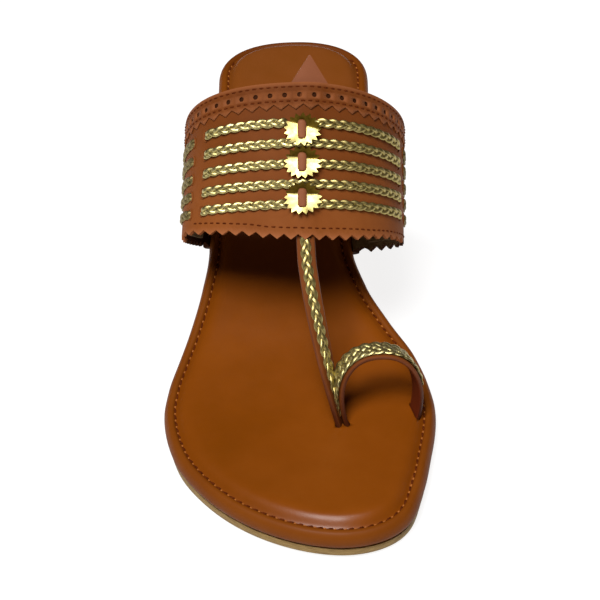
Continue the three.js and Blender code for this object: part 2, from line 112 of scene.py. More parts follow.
# Footbed: a rolled rim, a stitch groove, and padding that swells and dips inside it
FOOTBED_EDGE = table(
    "inset rise",
    (3.0, 0.35),
    (1.5, 0.5),
    (0.35, 1.6),
    (0.0, 3.3),
    (0.45, 5.2),
    (1.5, 6.6),
    (2.6, 7.0),
    (3.4, 6.75),
    (4.0, 6.1),
    (4.7, 6.5),
    (5.6, 7.2),
    (6.6, 7.85),
    (8.0, 8.4),
    (10.0, 8.75),
    (12.5, 8.8),
)
FOOTBED_MESH = Sizes(per_row=3, columns=24)
STITCH_GROOVE = Sizes(inset=4.0, rise=6.2, from_back=13.0, stations=400)
PAD_START = Sizes(inset=4.4, reach=4.0)
PAD_SWELL = table("start end rise", (200, 236, 0.7), (34, 8, 1.1))
PAD_CROWN = Sizes(rise=0.5, margin=16)
PAD_DIPS = table("along reach dip", (34, 26, 1.3), (182, 26, 1.1))
SLIT_SPARE = 0.5
SLIT_STATIONS = 14

# Instep band, with its middle line, pinked front edge, folded-in skirt and lining
WALL = 2.2
LEATHER = 1.2
BAND_REAR = Sizes(
    apex=118,
    top=104.2,
    half=39.3,
    centre=1,
    lateral=Sizes(base=75, widest=70, shoulder=0.06),
    medial=Sizes(base=75, widest=69, shoulder=0),
)
BAND_FRONT = Sizes(
    apex=151.6,
    top=64.4,
    half=39.5,
    centre=-0.5,
    lateral=Sizes(base=106, widest=52, shoulder=0),
    medial=Sizes(base=110.5, widest=39, shoulder=0),
)
BAND_BASE_RISE = 4.0
DISC_TURN = 0.034
TAB_TURN = 0.072
STRAP_TURN = 0.047
MIDDLE_LINE = table("reach turn", (0, TAB_TURN), (0.3, DISC_TURN), (0.75, DISC_TURN), (1, STRAP_TURN))
BAND_SWELL = Sizes(lift=0.7, half=4.2, power=4)
BAND_MESH = Sizes(per_tooth=6, pitch=4.9, rows=26)
FRONT_EDGE = table(
    "turn draw tooth stitch",
    (-0.8, 0.0, 2.0, 4.0),
    (-0.71, 1.9, 1.6, 4.0),
    (-0.55, 1.9, 1.6, 4.0),
    (-0.36, 1.2, 1.6, 4.0),
    (-0.19, 0.2, 1.7, 4.0),
    (-0.1, -1.0, 1.8, 4.0),
    (0.0, -1.6, 1.85, 4.0),
    (0.1, -2.0, 1.85, 4.0),
    (0.2, -1.9, 1.75, 4.0),
    (0.3, -1.1, 1.65, 3.25),
    (0.4, -0.2, 1.65, 2.75),
    (0.5, 0.0, 1.7, 2.7),
    (0.8, 0.0, 2.0, 2.9),
)
# Beyond this share from the middle, the front edge's cut faces are painted dark as shade.
FRONT_EDGE_SHADE = 0.31
SKIRT = Sizes(recede=0.08, gap=0.1, tuck=0.8, columns=4, shares=(1.0, 0.75, 0.5, 0.25))
LINING_SHEET = Sizes(gap=0.05, end=0.95, margin=3.4, step=2.4, rows=20, swell=0.6)
TRIM = Sizes(width=9.3, thick=0.5, lift=0.05, end=0.99, reach=0.09)
TRIM_TOOTH = Sizes(pitch=5.05, depth=1.9, shape=(0.5, 1.0, 0.5, 0.0, 0.5))
TRIM_HOLE = Sizes(at=4.3, radius=0.85, room=1.5)
HOLE_FLOOR = Sizes(radius=1.1, lifts=(-0.4, 0.04), sides=10)
TAB = Sizes(half=6.3, length=9.5, thick=1.2, shift=-0.5, sink=0.4, blunt=0.3, bend=0.5, curl=0.01, columns=7)
TAB_ROWS = (-6.0, -3, 0, 2.4, 4.8, 7.2, 8.8, TAB.length)

# Toe strap and toe loop
STRAP = Sizes(width=6.4, thick=1.8, embed=1.2, start=0.94)
STRAP_PATH = table(
    "along across height turn",
    (157.5, 4.2, 57, 0),
    (166, 5.8, 49, 8),
    (174.8, 8.2, 38.9, 24),
    (181.5, 10.8, 28, 44),
    (186, 13.1, 18.4, 62),
    (188.4, 15, 9.7, 74),
)
LOOP = Sizes(width=7.0, thick=1.6, centre=27.0, half=16.8, rise=25.6, power=2.35, yaw=21.0)
LOOP_FOOT = Sizes(along=188.0, rise=5.2, sunk=2.0)
LOOP_LEAN = Sizes(back=5.9, skew=4.0, lateral=5.2, medial=4.0)
STRIP_MESH = Sizes(under=8, free=90, loop=240, step=0.6, softening=12, corners=4)
STRIP_EDGE_LEAN = 0.6

# Plaits: strands sway from side to side, weave over and under, and dive into slits
PLAIT_ROWS = (0.265, 0.4, 0.535, 0.668, 0.8)
ROWS_BETWEEN_DISCS = (1, 3)
DISC_CLEAR = 0.04
PLAIT_RUNS = table(
    "name start end dive_start dive_end",
    ("front_lateral", -0.437, DISC_TURN - DISC_CLEAR, True, False),
    ("front_medial", DISC_TURN + DISC_CLEAR, 0.52, False, True),
    ("side_lateral", -0.88, -0.5, True, True),
    ("side_medial", 0.575, 0.8, True, True),
)
SLIT_LEAN = Sizes(outer=-0.75, inner=-0.3, step=0.013)
SLIT_RIM = Sizes(
    sweep=115, steps=15, sides=6, inset=1.3, across=1.1, forward=1.9, lift=0.12, fat=0.34, taper=0.75,
    thin=0.05,
)
BAND_PLAIT = Sizes(strands=3, lobe=3.8, width=3.6, strand=1.5, thick=0.8, weave=0.38, low=0.7, core=0.7)
SIDE_PLAIT = Sizes(BAND_PLAIT, thick=0.65, weave=0.28, low=0.4)
STRAP_PLAIT = Sizes(BAND_PLAIT, lobe=4.2, width=3.8, strand=1.65, low=0.55)
LOOP_PLAIT = Sizes(strands=5, lobe=3.4, width=6.3, strand=1.95, thick=0.7, weave=0.25, low=0.7, core=0.94)
STRAP_PLAIT_RUN = Sizes(start=0.06, end=0.96, shift=0.1)
LOOP_PLAIT_RUN = Sizes(start=0.085, end=0.83, shift=0.6)
PLAIT_CORE = Sizes(thick=0.5, below=0.25)
PLAIT_STEP = 0.45
STRAND = Sizes(sides=10, turn=0.95, bulge=0.8)
DIVE = Sizes(length=2.6, depth=0.9, width=0.7, sway=0.6)

# Discs, folded up behind and fluttering, and the keepers over them
DISCS = table("reach lean", (0.315, 0.3), (0.53, 0.12), (0.765, 0.05))
DISC = Sizes(across=6.4, forward=5.7, thick=0.3, low=0.9, flat=78.0, roll=0.08, tilt=0.2)
DISC_BASE = BAND_SWELL.lift + DISC.low
DISC_FOLD = Sizes(rise=0.6, at=0.28, blend=0.12)
DISC_TEETH = Sizes(count=17, spokes=6, notch=0.77, root=0.5, root_length=0.4, spin=0.4)
DISC_RINGS = Sizes(hub=0.06, count=15)
DISC_FLUTTER = table("height waves shift", (0.3, 5, 1.0), (0.28, 2, 1.9))
KEEPER = Sizes(width=2.8, length=7.6, thick=0.9, crown=0.7, round=3, columns=9, rows=25)
KEEPER_END = Sizes(taper=0.4, taper_at=0.5, dive=2.0, dive_at=0.72)

# Stitches
FOOTBED_STITCH = Sizes(pitch=3.3, length=2.3, radius=0.42, slant=0.3)
SEAM_PUCKER = Sizes(pitch=3.3, length=0.9, radius=0.34, start=1.0)
BAND_STITCH = Sizes(pitch=2.5, length=1.5, radius=0.27)
BAND_STITCH_STEP = 0.5
TRIM_TOP = TRIM.thick + TRIM.lift
BAND_STITCH_ROWS = table(
    "name edge distance lift start end",
    ("stitches_band_front", 1.0, 0.0, 0.0, -0.52, 0.97),
    ("stitches_trim_rear", 0.0, 1.5, TRIM_TOP, -0.97, 0.97),
    ("stitches_trim_front", 0.0, 6.4, TRIM_TOP, -0.97, 0.97),
)
STITCH_SHAPE = table(
    "along fat lift",
    (-0.5, 0.35, -0.2),
    (-0.38, 0.85, 0.1),
    (0, 1, 0.25),
    (0.38, 0.85, 0.1),
    (0.5, 0.35, -0.2),
)
STITCH_MESH = Sizes(sides=6, flat=0.8, ahead=0.2)

# Stage, in metres and watts, and the camera, in millimetres
FLOOR = Sizes(half=4000.0, height=-0.05)
WORLD = Sizes(tint=(1.0, 0.66, 0.52, 1.0), strength=0.05)
LIGHTS = table(
    "name place size watts",
    ("key", (-0.6, -1.26, 2.79), (1.4, 1.05), 110),
    ("top", (0.0, -0.5, 2.7), (0.9, 0.5), 16),
)
LIGHT_TARGET = (0.0, 0.0, 0.04)
CAMERA_PLACE = (11.42, -492.2, 398.5)
CAMERA_LOOK = (-0.0175, 0.7885, -0.6191)
CAMERA_UP = (0.0314, 0.6071, 0.7940)
CAMERA_ANGLE = 20.33


# Curves and lines
def through(rows, column, key="along"):
    """A smooth curve through one column of a table, flat where rows agree or turn back."""
    xs = np.array([row[key] for row in rows], float)
    ys = np.array([row[column] for row in rows], float)
    secants = np.diff(ys) / np.diff(xs)
    before = np.concatenate([secants[:1], secants])
    after = np.concatenate([secants, secants[-1:]])
    rising = before * after > 0
    slopes = np.where(rising, 2 * before * after / np.where(rising, before + after, 1), 0)

    def curve(x):
        x = np.asarray(x, float)
        i = np.clip(np.searchsorted(xs, x, side="right") - 1, 0, len(xs) - 2)
        span = xs[i + 1] - xs[i]
        s = (x - xs[i]) / span
        low = ys[i] * (1 + 2 * s) * (1 - s) ** 2 + slopes[i] * span * s * (1 - s) ** 2
        return low + ys[i + 1] * s * s * (3 - 2 * s) + slopes[i + 1] * span * s * s * (s - 1)

    return curve


def between(rows, column, key, places):
    """Straight steps through one column of a table."""
    return np.interp(places, [row[key] for row in rows], [row[column] for row in rows])


def at(across, along, height):
    return np.stack(np.broadcast_arrays(across, LENGTH / 2 - np.asarray(along), height), axis=-1)


def unit(v):
    return v / np.linalg.norm(v, axis=-1, keepdims=True)


def mix(a, b, share):
    return a + (b - a) * share


def smooth(x):
    x = np.clip(x, 0, 1)
    return x * x * (3 - 2 * x)


def rounded(distance, reach, power):
    s = np.clip(1 - distance / reach, 0, 1)
    return (1 - s**power) ** (1 / power)


def circle(count):
    return np.linspace(0, 2 * np.pi, count, endpoint=False)


def gathered(start, end, count):
    """Stations that gather towards both ends."""
    return mix(start, end, (1 - np.cos(np.pi * np.linspace(0, 1, count + 1))) / 2)


def arc_lengths(line):
    """The distance along a line at each of its points."""
    return np.concatenate([[0], np.cumsum(np.linalg.norm(np.diff(line, axis=0), axis=-1))])


def looked_up(places, marks, points):
    """Points at places between those known at rising marks."""
    return np.stack([np.interp(places, marks, points[:, k]) for k in range(3)], axis=-1)


# Surfaces
sole_centre = through(SOLE_PLAN, "centre")
sole_half = through(SOLE_PLAN, "half")
sole_top = through(PROFILE, "height")
outsole_thick = through(PROFILE, "thick")


def sole_under(along):
    return sole_top(along) - outsole_thick(along)


def sole_edge(along, side):
    s = np.clip((along - TOE_ROUND.start) / (LENGTH - TOE_ROUND.start), 0, 1)
    toe = (1 - s ** TOE_ROUND.bow) ** (1 / TOE_ROUND.blunt)
    return sole_centre(along) + side * sole_half(along) * rounded(along, **HEEL_ROUND) * toe


def plan_of(stations, edge):
    """A closed plan: heel end, lateral side, toe end, then the medial side back."""
    lateral = np.stack([edge(stations, -1), stations], axis=-1)
    back = stations[-2:0:-1]
    return np.concatenate([lateral, np.stack([edge(back, 1), back], axis=-1)])


def inset_plan(plan, inset):
    run = unit(np.roll(plan, -1, axis=0) - np.roll(plan, 1, axis=0))
    return plan + inset * np.stack([run[:, 1], -run[:, 0]], axis=-1)


def arch_point(arch, turn):
    """A point on one of the two leaning arches that the band spans."""
    lateral = turn < 0
    side = np.where(lateral, -1, 1)
    keys = ("base", "widest", "shoulder")
    base, widest, shoulder = (np.where(lateral, arch.lateral[key], arch.medial[key]) for key in keys)
    low = sole_top(base) + BAND_BASE_RISE
    foot = sole_edge(base, side) + side * (GAP + WALL)
    full = np.pi - np.arcsin(np.abs(foot - arch.centre) / arch.half)
    angle = np.abs(turn) * full
    lower = (low - widest) / np.cos(full)
    upper_half = angle < np.pi / 2
    bulge = np.where(upper_half, 1 + shoulder * np.sin(2 * angle) ** 2, 1)
    height = widest + bulge * np.cos(angle) * np.where(upper_half, arch.top - widest, lower)
    lean = (arch.apex - base) / (arch.top - low)
    across = arch.centre + side * arch.half * bulge * np.sin(angle)
    return at(across, base + (height - low) * lean, height)


def band_point(turn, reach):
    turn, reach = np.broadcast_arrays(np.asarray(turn, float), np.asarray(reach, float))
    return mix(arch_point(BAND_REAR, turn), arch_point(BAND_FRONT, turn), reach[..., None])


def band_frame(turn, reach, nudge=1e-3):
    """Directions on the band: forward, rightwards along its arch, and outward."""
    turn, reach = np.asarray(turn), np.asarray(reach)
    forward = unit(band_point(turn, reach + nudge) - band_point(turn, reach - nudge))
    over = band_point(turn + nudge, reach) - band_point(turn - nudge, reach)
    outward = unit(np.cross(forward, over))
    return forward, unit(np.cross(outward, forward)), outward


def band_offset(turn, reach, lift):
    turn, reach, lift = np.broadcast_arrays(*(np.asarray(v, float) for v in (turn, reach, lift)))
    return band_point(turn, reach) + lift[..., None] * band_frame(turn, reach)[2]


def band_depth(turn):
    return np.linalg.norm(band_point(turn, 1.0) - band_point(turn, 0.0), axis=-1)


def per_turn(reach, nudge=0.01):
    """Millimetres along the arch for one unit of turn, near its middle."""
    step = band_point(DISC_TURN + nudge, reach) - band_point(DISC_TURN - nudge, reach)
    return np.linalg.norm(step) / (2 * nudge)


PER_TURN = per_turn(0.5)


def even_turns(start, end, reach, spacing, multiple=1, samples=801):
    """Turns that step evenly along the band at one reach."""
    turns = np.linspace(start, end, samples)
    lengths = arc_lengths(band_point(turns, reach))
    count = multiple * max(round(lengths[-1] / spacing / multiple), 1)
    return np.interp(np.linspace(0, lengths[-1], count + 1), lengths, turns)


def band_swell(turn, reach):
    """The band rises over the strip under its middle line, from the pointed end to the toe strap."""
    away = (np.asarray(turn) - between(MIDDLE_LINE, "turn", "reach", reach)) * PER_TURN
    return BAND_SWELL.lift * np.exp(-((away / BAND_SWELL.half) ** BAND_SWELL.power))


# Mesh makers
def facing_out(points, faces):
    """The faces of a closed piece, turned over if they look inwards."""
    volume = 0.0
    for count in {len(face) for face in faces}:
        corners = points[np.array([face for face in faces if len(face) == count])]
        for k in range(1, count - 1):
            volume += np.sum(corners[:, 0] * np.cross(corners[:, k], corners[:, k + 1]))
    return faces if volume > 0 else [face[::-1] for face in faces]


def make(name, points, faces, material, sharp=35, closed=True, shades=None):
    """A smooth-shaded piece of one material, or of several with each face's number among them."""
    points = np.asarray(points).reshape(-1, 3)
    if closed:
        faces = facing_out(points, faces)
    mesh = bpy.data.meshes.new(name)
    mesh.from_pydata((points * MM).tolist(), [], faces)
    for each in material if shades else [material]:
        mesh.materials.append(each)
    if shades:
        mesh.polygons.foreach_set("material_index", shades)
    mesh.validate()
    mesh.polygons.foreach_set("use_smooth", [True] * len(mesh.polygons))
    mesh.set_sharp_from_angle(angle=math.radians(sharp))
    mesh.update()
    return linked(name, mesh)


def linked(name, data):
    obj = bpy.data.objects.new(name, data)
    bpy.context.scene.collection.objects.link(obj)
    return obj


def settle(obj, slot, *nodes):
    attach(obj, "root")
    if nodes:
        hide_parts(*nodes)


def grid_faces(columns, rows, offset=0):
    starts = [offset + i * rows + j for i in range(columns - 1) for j in range(rows - 1)]
    return [[a, a + 1, a + rows + 1, a + rows] for a in starts]


def ring_faces(count, sides):
    """Faces between closed rings of points, from each ring to the next."""
    faces = []
    for start in range(0, (count - 1) * sides, sides):
        for k in range(sides):
            n = (k + 1) % sides
            faces.append([start + k, start + n, start + sides + n, start + sides + k])
    return faces


def slab(outer, inner):
    """A closed sheet between two grids of points, as (points, faces)."""
    columns, rows = outer.shape[:2]
    under = columns * rows
    faces = grid_faces(columns, rows) + [face[::-1] for face in grid_faces(columns, rows, under)]
    rim = [i * rows for i in range(columns)]
    rim += [(columns - 1) * rows + j for j in range(1, rows)]
    rim += [i * rows + rows - 1 for i in range(columns - 2, -1, -1)]
    rim += list(range(rows - 2, 0, -1))
    faces += [[a, b, under + b, under + a] for a, b in zip(rim, rim[1:] + rim[:1])]
    return np.concatenate([outer.reshape(-1, 3), inner.reshape(-1, 3)]), faces


def tube(rings):
    """A closed tube through rings of points, with its two ends filled."""
    count, sides = rings.shape[:2]
    ends = [list(range(sides))[::-1], list(range((count - 1) * sides, count * sides))]
    return rings.reshape(-1, 3), ring_faces(count, sides) + ends


def swept(path, side, up, across, lift):
    """A tube along a path, whose rings spread by across and lift in its own directions."""
    return tube(path[:, None] + across[..., None] * side[..., None, :] + lift[..., None] * up[..., None, :])


def joined(parts):
    """Several (points, faces) as one."""
    points, faces, offset = [], [], 0
    for some, theirs in parts:
        points.append(some)
        faces += [[offset + k for k in face] for face in theirs]
        offset += len(some)
    return np.concatenate(points), faces


def stack_of_rings(rings):
    """Closed rings of one plan, from the lowest up, with both ends filled rung by rung."""
    count = rings.shape[1]
    faces = ring_faces(len(rings), count)
    for ring, up in ((0, False), (len(rings) - 1, True)):
        for i in range(count // 2):
            corners = (i, i + 1, count - i - 1, (count - i) % count)
            rung = list(dict.fromkeys(ring * count + k for k in corners))
            faces.append(rung if up else rung[::-1])
    return rings.reshape(-1, 3), faces


def sole_rings(plan, rows):
    """Rings of the sole at (inset, height function) rows."""
    rings = []
    for inset, height in rows:
        p = inset_plan(plan, inset)
        rings.append(at(p[:, 0], p[:, 1], height(np.clip(p[:, 1], 0, LENGTH))))
    return np.array(rings)


# Materials
def colour(srgb):
    """An sRGB colour, 0 to 255, as the linear RGBA that shaders take."""
    s = np.array(srgb) / 255
    linear = np.where(s <= 0.04045, s / 12.92, ((s + 0.055) / 1.055) ** 2.4)
    return (*linear.tolist(), 1.0)


class Shader:
    """A material with a Principled BSDF, and helpers that add nodes to it."""

    def __init__(self, name, **inputs):
        self.material = bpy.data.materials.new(name)
        self.material.use_nodes = True
        self.nodes = self.material.node_tree.nodes
        self.place = self.add("TexCoord").outputs["Object"]
        self.set(**inputs)

    def feed(self, node, inputs):
        """Sets a node's inputs, and links those whose value is another node's output."""
        for name, value in inputs.items():
            socket = node.inputs[name.replace("_", " ")]
            if isinstance(value, bpy.types.NodeSocket):
                self.material.node_tree.links.new(value, socket)
            else:
                socket.default_value = value

    def add(self, kind, **inputs):
        node = self.nodes.new("ShaderNode" + kind)
        self.feed(node, inputs)
        return node

    def set(self, **inputs):
        self.feed(self.nodes["Principled BSDF"], inputs)

    def noise(self, scale, detail=4.0, roughness=0.55, stretch=None):
        place = self.place
        if stretch:
            place = self.add("Mapping", Vector=place, Scale=stretch).outputs["Vector"]
        node = self.add("TexNoise", Vector=place, Scale=scale, Detail=detail, Roughness=roughness)
        return node.outputs["Fac"]

    def cells(self, scale):
        return self.add("TexVoronoi", Vector=self.place, Scale=scale).outputs["Distance"]

    def ramp(self, value, *stops):
        """Colours at rising shares of a value, each stop as (share, sRGB)."""
        node = self.add("ValToRGB", Fac=value)
        elements = node.color_ramp.elements
        while len(elements) < len(stops):
            elements.new(0.5)
        for element, (position, srgb) in zip(elements, stops):
            element.position = position
            element.color = colour(srgb)
        return node.outputs["Color"]

    def span(self, value, low=0.0, high=1.0, start=0.0, end=1.0):
        """A value from start to end, spread from low to high."""
        node = self.add("MapRange", Value=value, From_Min=start, From_Max=end, To_Min=low, To_Max=high)
        return node.outputs["Result"]

    def edges(self, low, high):
        """How sharply the surface turns outwards, from 0 on flats to 1 on edges."""
        return self.span(self.add("NewGeometry").outputs["Pointiness"], start=low, end=high)

    def height(self, low, high):
        """Height above the floor, from 0 at low to 1 at high."""
        return self.span(self.add("SeparateXYZ", Vector=self.place).outputs["Z"], start=low, end=high)

    def blend(self, mode, factor, base, shade):
        node = self.add("Mix")
        node.data_type, node.blend_type = "RGBA", mode
        self.feed(node, dict(Factor=factor))
        a, b = (next(s for s in node.inputs if s.name == name and s.type == "RGBA") for name in "AB")
        self.material.node_tree.links.new(base, a)
        b.default_value = shade
        return next(s for s in node.outputs if s.type == "RGBA")

    def bump(self, *layers):
        """Stacked bumps, each (height, distance in metres, strength)."""
        below = {}
        for height, distance, strength in layers:
            node = self.add("Bump", Height=height, Distance=distance, Strength=strength, **below)
            below = dict(Normal=node.outputs["Normal"])
        self.set(**below)


def leather(name, dark, mid, light, roughness, shine, coat=0.0, grain=0.5, wear=None, painted_light=None, clouds=55):
    """Smooth finished leather: cloudy dye, fine pebble grain, soft gloss, rubbed edges.

    painted_light is (height it starts at, height it is full at, RGB that multiplies the dye there), in
    metres: shade or sheen painted into the dye by height.
    """
    s = Shader(name, IOR=1.48, Specular_IOR_Level=shine, Coat_Weight=coat, Coat_Roughness=0.22)
    tone = s.ramp(s.noise(scale=clouds, detail=5, roughness=0.6), (0.3, dark), (0.5, mid), (0.72, light))
    if painted_light:
        low, high, shade = painted_light
        tone = s.blend("MULTIPLY", s.height(low, high), tone, (*shade, 1.0))
    if wear:
        tone = s.blend("MIX", s.edges(low=0.52, high=0.62), tone, colour(wear))
    s.set(Base_Color=tone)
    gloss = s.noise(scale=240, detail=3)
    s.set(Roughness=s.span(gloss, low=roughness - 0.06, high=roughness + 0.08))
    pebbles, wrinkles = s.cells(scale=1500), s.noise(scale=420, detail=6, roughness=0.6)
    s.bump((pebbles, 0.00012, 0.12 * grain), (wrinkles, 0.0003, 0.12 * grain))
    return s.material


def gold(name, dark, light, roughness, spots=900, spread=0.085):
    """Gold-foiled leather: warm metal with fine creases and duller spots."""
    s = Shader(name, Metallic=1.0)
    s.set(Base_Color=s.ramp(s.noise(scale=700, detail=4), (0.25, dark), (0.65, light)))
    gloss = s.noise(scale=spots, detail=3)
    s.set(Roughness=s.span(gloss, low=roughness - spread, high=roughness + spread))
    creases, pebbles = s.noise(scale=1600, detail=4, roughness=0.6), s.cells(scale=900)
    s.bump((creases, 0.00015, 0.12), (pebbles, 0.0001, 0.06))
    return s.material


def sole_board():
    """Beige rubber with thin level layers."""
    s = Shader("sole_rubber_beige", IOR=1.45)
    layers = s.noise(scale=900, detail=4, roughness=0.7, stretch=(0.25, 0.25, 2.2))
    s.set(Base_Color=s.ramp(layers, (0.3, (114, 87, 44)), (0.55, (144, 115, 64)), (0.8, (166, 138, 88))))
    s.set(Roughness=s.span(s.noise(scale=500), low=0.55, high=0.8))
    s.bump((s.noise(scale=1300, detail=5, roughness=0.65), 0.00025, 0.3))
    return s.material


# Beige suede, set darker than its own colour to paint the shade inside the band.
def lining_suede():
    s = Shader("lining_beige", Sheen_Weight=0.06, Sheen_Roughness=0.5)
    nap = s.noise(scale=160, detail=6, roughness=0.65)
    s.set(Base_Color=s.ramp(nap, (0.3, (104, 82, 46)), (0.7, (130, 106, 66))))
    s.set(Roughness=s.span(s.noise(scale=700, detail=4), low=0.8, high=0.98))
    s.bump((s.noise(scale=2600, detail=5, roughness=0.7), 0.0002, 0.4))
    return s.material


def thread():
    s = Shader("thread_brown", IOR=1.45, Specular_IOR_Level=0.04)
    s.set(Base_Color=s.ramp(s.noise(scale=1500, detail=2), (0.3, (66, 25, 5)), (0.7, (96, 41, 12))))
    s.set(Roughness=s.span(s.noise(scale=2000), low=0.7, high=0.9))
    return s.material


def floor_paint():
    s = Shader("floor_pale", Roughness=0.85, Emission_Color=(1.0, 1.0, 1.0, 1.0), Emission_Strength=0.85)
    s.set(Base_Color=s.ramp(s.noise(scale=3, detail=2), (0.3, (122, 122, 122)), (0.7, (126, 126, 126))))
    return s.material


# Footbed leather; towards the heel seat the dye is painted paler and less saturated, a painted sheen.
TAN_BED = leather(
    "leather_tan_footbed", (112, 55, 2), (119, 59, 5), (126, 64, 9), roughness=0.36, coat=0.12, grain=0.9,
    shine=0.16, wear=(132, 70, 20), painted_light=(0.042, 0.054, (0.92, 1.06, 4.0)), clouds=24,
)
# Rolled rim leather; its top round the heel is painted darker, a painted shade.
TAN_ROLL = leather(
    "leather_tan_rim", (108, 53, 4), (112, 56, 5), (117, 60, 8), roughness=0.55, coat=0.02, shine=0.1,
    painted_light=(0.051, 0.0555, (0.6, 0.54, 0.5)),
)
# Band leather, painted darker towards its top and rear edge as painted shade.
TAN_BAND = leather(
    "leather_tan_upper", (121, 65, 26), (127, 70, 30), (134, 76, 35), roughness=0.6, grain=0.8, shine=0.06,
    wear=(150, 90, 54), painted_light=(0.062, 0.108, (0.5, 0.42, 0.3)),
)
# The leather's flesh side, made near black as painted shade; also on the front edge's cut faces towards the
# ends and under the punched holes.
BAND_FLESH_AND_SHADE = leather(
    "leather_flesh_side", (46, 22, 8), (54, 26, 10), (64, 32, 13), roughness=0.8, grain=1.0, shine=0.05
)
TAN_TAB = leather(
    "leather_tan_point", (122, 70, 44), (128, 75, 48), (134, 81, 54), roughness=0.55, grain=0.8, shine=0.1
)
SLIT_EDGE = leather(
    "leather_slit_rim", (112, 59, 24), (118, 64, 27), (124, 69, 31), roughness=0.6, grain=0.8, shine=0.06
)
TAN_KEEPER = leather(
    "leather_keeper", (120, 71, 44), (130, 78, 50), (140, 86, 56), roughness=0.55, grain=0.6, shine=0.1
)
# Toe strap and loop leather, painted darker towards the footbed as painted shade.
TAN_STRAP = leather(
    "leather_tan_strap", (98, 50, 17), (105, 55, 20), (112, 60, 24), roughness=0.6, grain=0.8, shine=0.06,
    wear=(138, 78, 44), painted_light=(0.034, 0.016, (0.6, 0.5, 0.45)),
)
STRAP_BACK = leather(
    "leather_strap_back", (78, 26, 7), (88, 32, 10), (98, 38, 13), roughness=0.5, coat=0.05, grain=0.8,
    shine=0.2,
)
# Edge-painted strip edges, darker still towards the footbed as painted shade.
STRAP_EDGE = leather(
    "leather_painted_edge", (88, 43, 18), (98, 49, 21), (110, 57, 26), roughness=0.5, coat=0.05, grain=1.0,
    shine=0.2, painted_light=(0.03, 0.015, (0.45, 0.36, 0.3)),
)
HEEL_COVER = leather(
    "leather_heel_cover", (90, 46, 20), (98, 52, 24), (106, 58, 28), roughness=0.45, coat=0.06, shine=0.2
)
# Leather for the raised puckers between stitches, paler than the footbed as a painted highlight.
PUCKER = leather(
    "leather_seam_pucker", (140, 76, 22), (152, 86, 30), (164, 96, 38), roughness=0.5, coat=0.05, shine=0.2
)
# A dark strip under the plaits' strands: painted shade in the gaps between them.
GOLD_GAP_SHADE = leather(
    "plait_gap_painted_shade", (50, 40, 14), (58, 46, 18), (66, 54, 22), roughness=0.7, grain=1.0, shine=0.1
)
GOLD_PLAIT = gold("gold_foil_plait", (160, 145, 86), (200, 187, 130), roughness=0.4)
GOLD_LOOP = gold("gold_foil_plait_loop", (150, 138, 84), (194, 182, 128), roughness=0.44)
# Darker copies of the plait gold for the band's sides, its big-toe half and the toe strap: painted shade.
GOLD_SHADED = gold("gold_foil_plait_medial", (136, 120, 66), (180, 164, 106), roughness=0.42)
GOLD_SIDE_SHADE = gold("gold_foil_plait_side_painted_shade", (116, 102, 60), (152, 136, 90), roughness=0.52)
GOLD_DEEP_SHADE = gold("gold_foil_plait_deep_painted_shade", (88, 76, 42), (122, 107, 66), roughness=0.55)
GOLD_DISC = gold("gold_foil_disc", (188, 170, 94), (216, 200, 130), roughness=0.46, spots=300, spread=0.18)
# Darker foil for the discs' folded-up backs: painted shade standing for the dark they reflect.
GOLD_FOLD_SHADE = gold("gold_foil_fold_painted_shade", (78, 60, 14), (112, 90, 30), roughness=0.5)
PLAIT_GOLDS = dict(
    side_medial=GOLD_DEEP_SHADE, side=GOLD_SIDE_SHADE, loop=GOLD_LOOP, strap=GOLD_SHADED, front_medial=GOLD_SHADED
)
SOLE_BOARD = sole_board()
LINING = lining_suede()
THREAD = thread()


# Toe strap and toe loop: stations are (line, across, outward)
def strap_stations():
    curves = {key: through(STRAP_PATH, key) for key in ("across", "height", "turn")}
    along = np.linspace(STRAP_PATH[0].along, STRAP_PATH[-1].along, STRIP_MESH.free)
    free = at(curves["across"](along), along, curves["height"](along))
    reach = np.linspace(STRAP.start, 1.0, STRIP_MESH.under)
    under = band_offset(STRAP_TURN, reach, -STRAP.embed)
    turn = np.radians(np.concatenate([0 * reach, curves["turn"](along)]))
    line, turn = even_line(np.concatenate([under, free]), turn)
    run = unit(np.gradient(line, axis=0))
    across = unit(np.array([1.0, 0, 0]) - run[:, :1] * run)
    outward = np.cross(run, across)
    across = across * np.cos(turn)[:, None] - outward * np.sin(turn)[:, None]
    return line, across, np.cross(run, across)


def even_line(line, values):
    """A line and the values along it, stepped evenly and softened."""
    lengths = arc_lengths(line)
    even = np.linspace(0, lengths[-1], int(lengths[-1] / STRIP_MESH.step) + 1)
    points, value = looked_up(even, lengths, line), np.interp(even, lengths, values)
    for _ in range(STRIP_MESH.softening):
        for each in (points, value):
            each[1:-1] = (each[:-2] + 2 * each[1:-1] + each[2:]) / 4
    return points, value


def loop_stations():
    foot = sole_top(LOOP_FOOT.along) + LOOP_FOOT.rise
    share = np.linspace(0, 1, STRIP_MESH.loop)
    angle = np.pi * share
    x = -np.sign(np.cos(angle)) * np.abs(np.cos(angle)) ** (2 / LOOP.power)
    z = np.abs(np.sin(angle)) ** (2 / LOOP.power)
    drawn = np.where(x < 0, LOOP_LEAN.lateral, -LOOP_LEAN.medial) * (1 - z) ** 2
    along = LOOP_FOOT.along - LOOP_LEAN.back * z - LOOP_LEAN.skew * share
    height = foot + (LOOP.rise + LOOP_FOOT.sunk) * z
    line, _ = even_line(at(LOOP.centre + LOOP.half * x + drawn, along, height), x)
    run = unit(np.gradient(line, axis=0))
    yaw = math.radians(LOOP.yaw)
    ahead = np.array([math.sin(yaw), -math.cos(yaw), 0])
    outward = unit(np.cross(np.broadcast_to(ahead, run.shape), run))
    return line, -unit(np.cross(outward, run)), outward


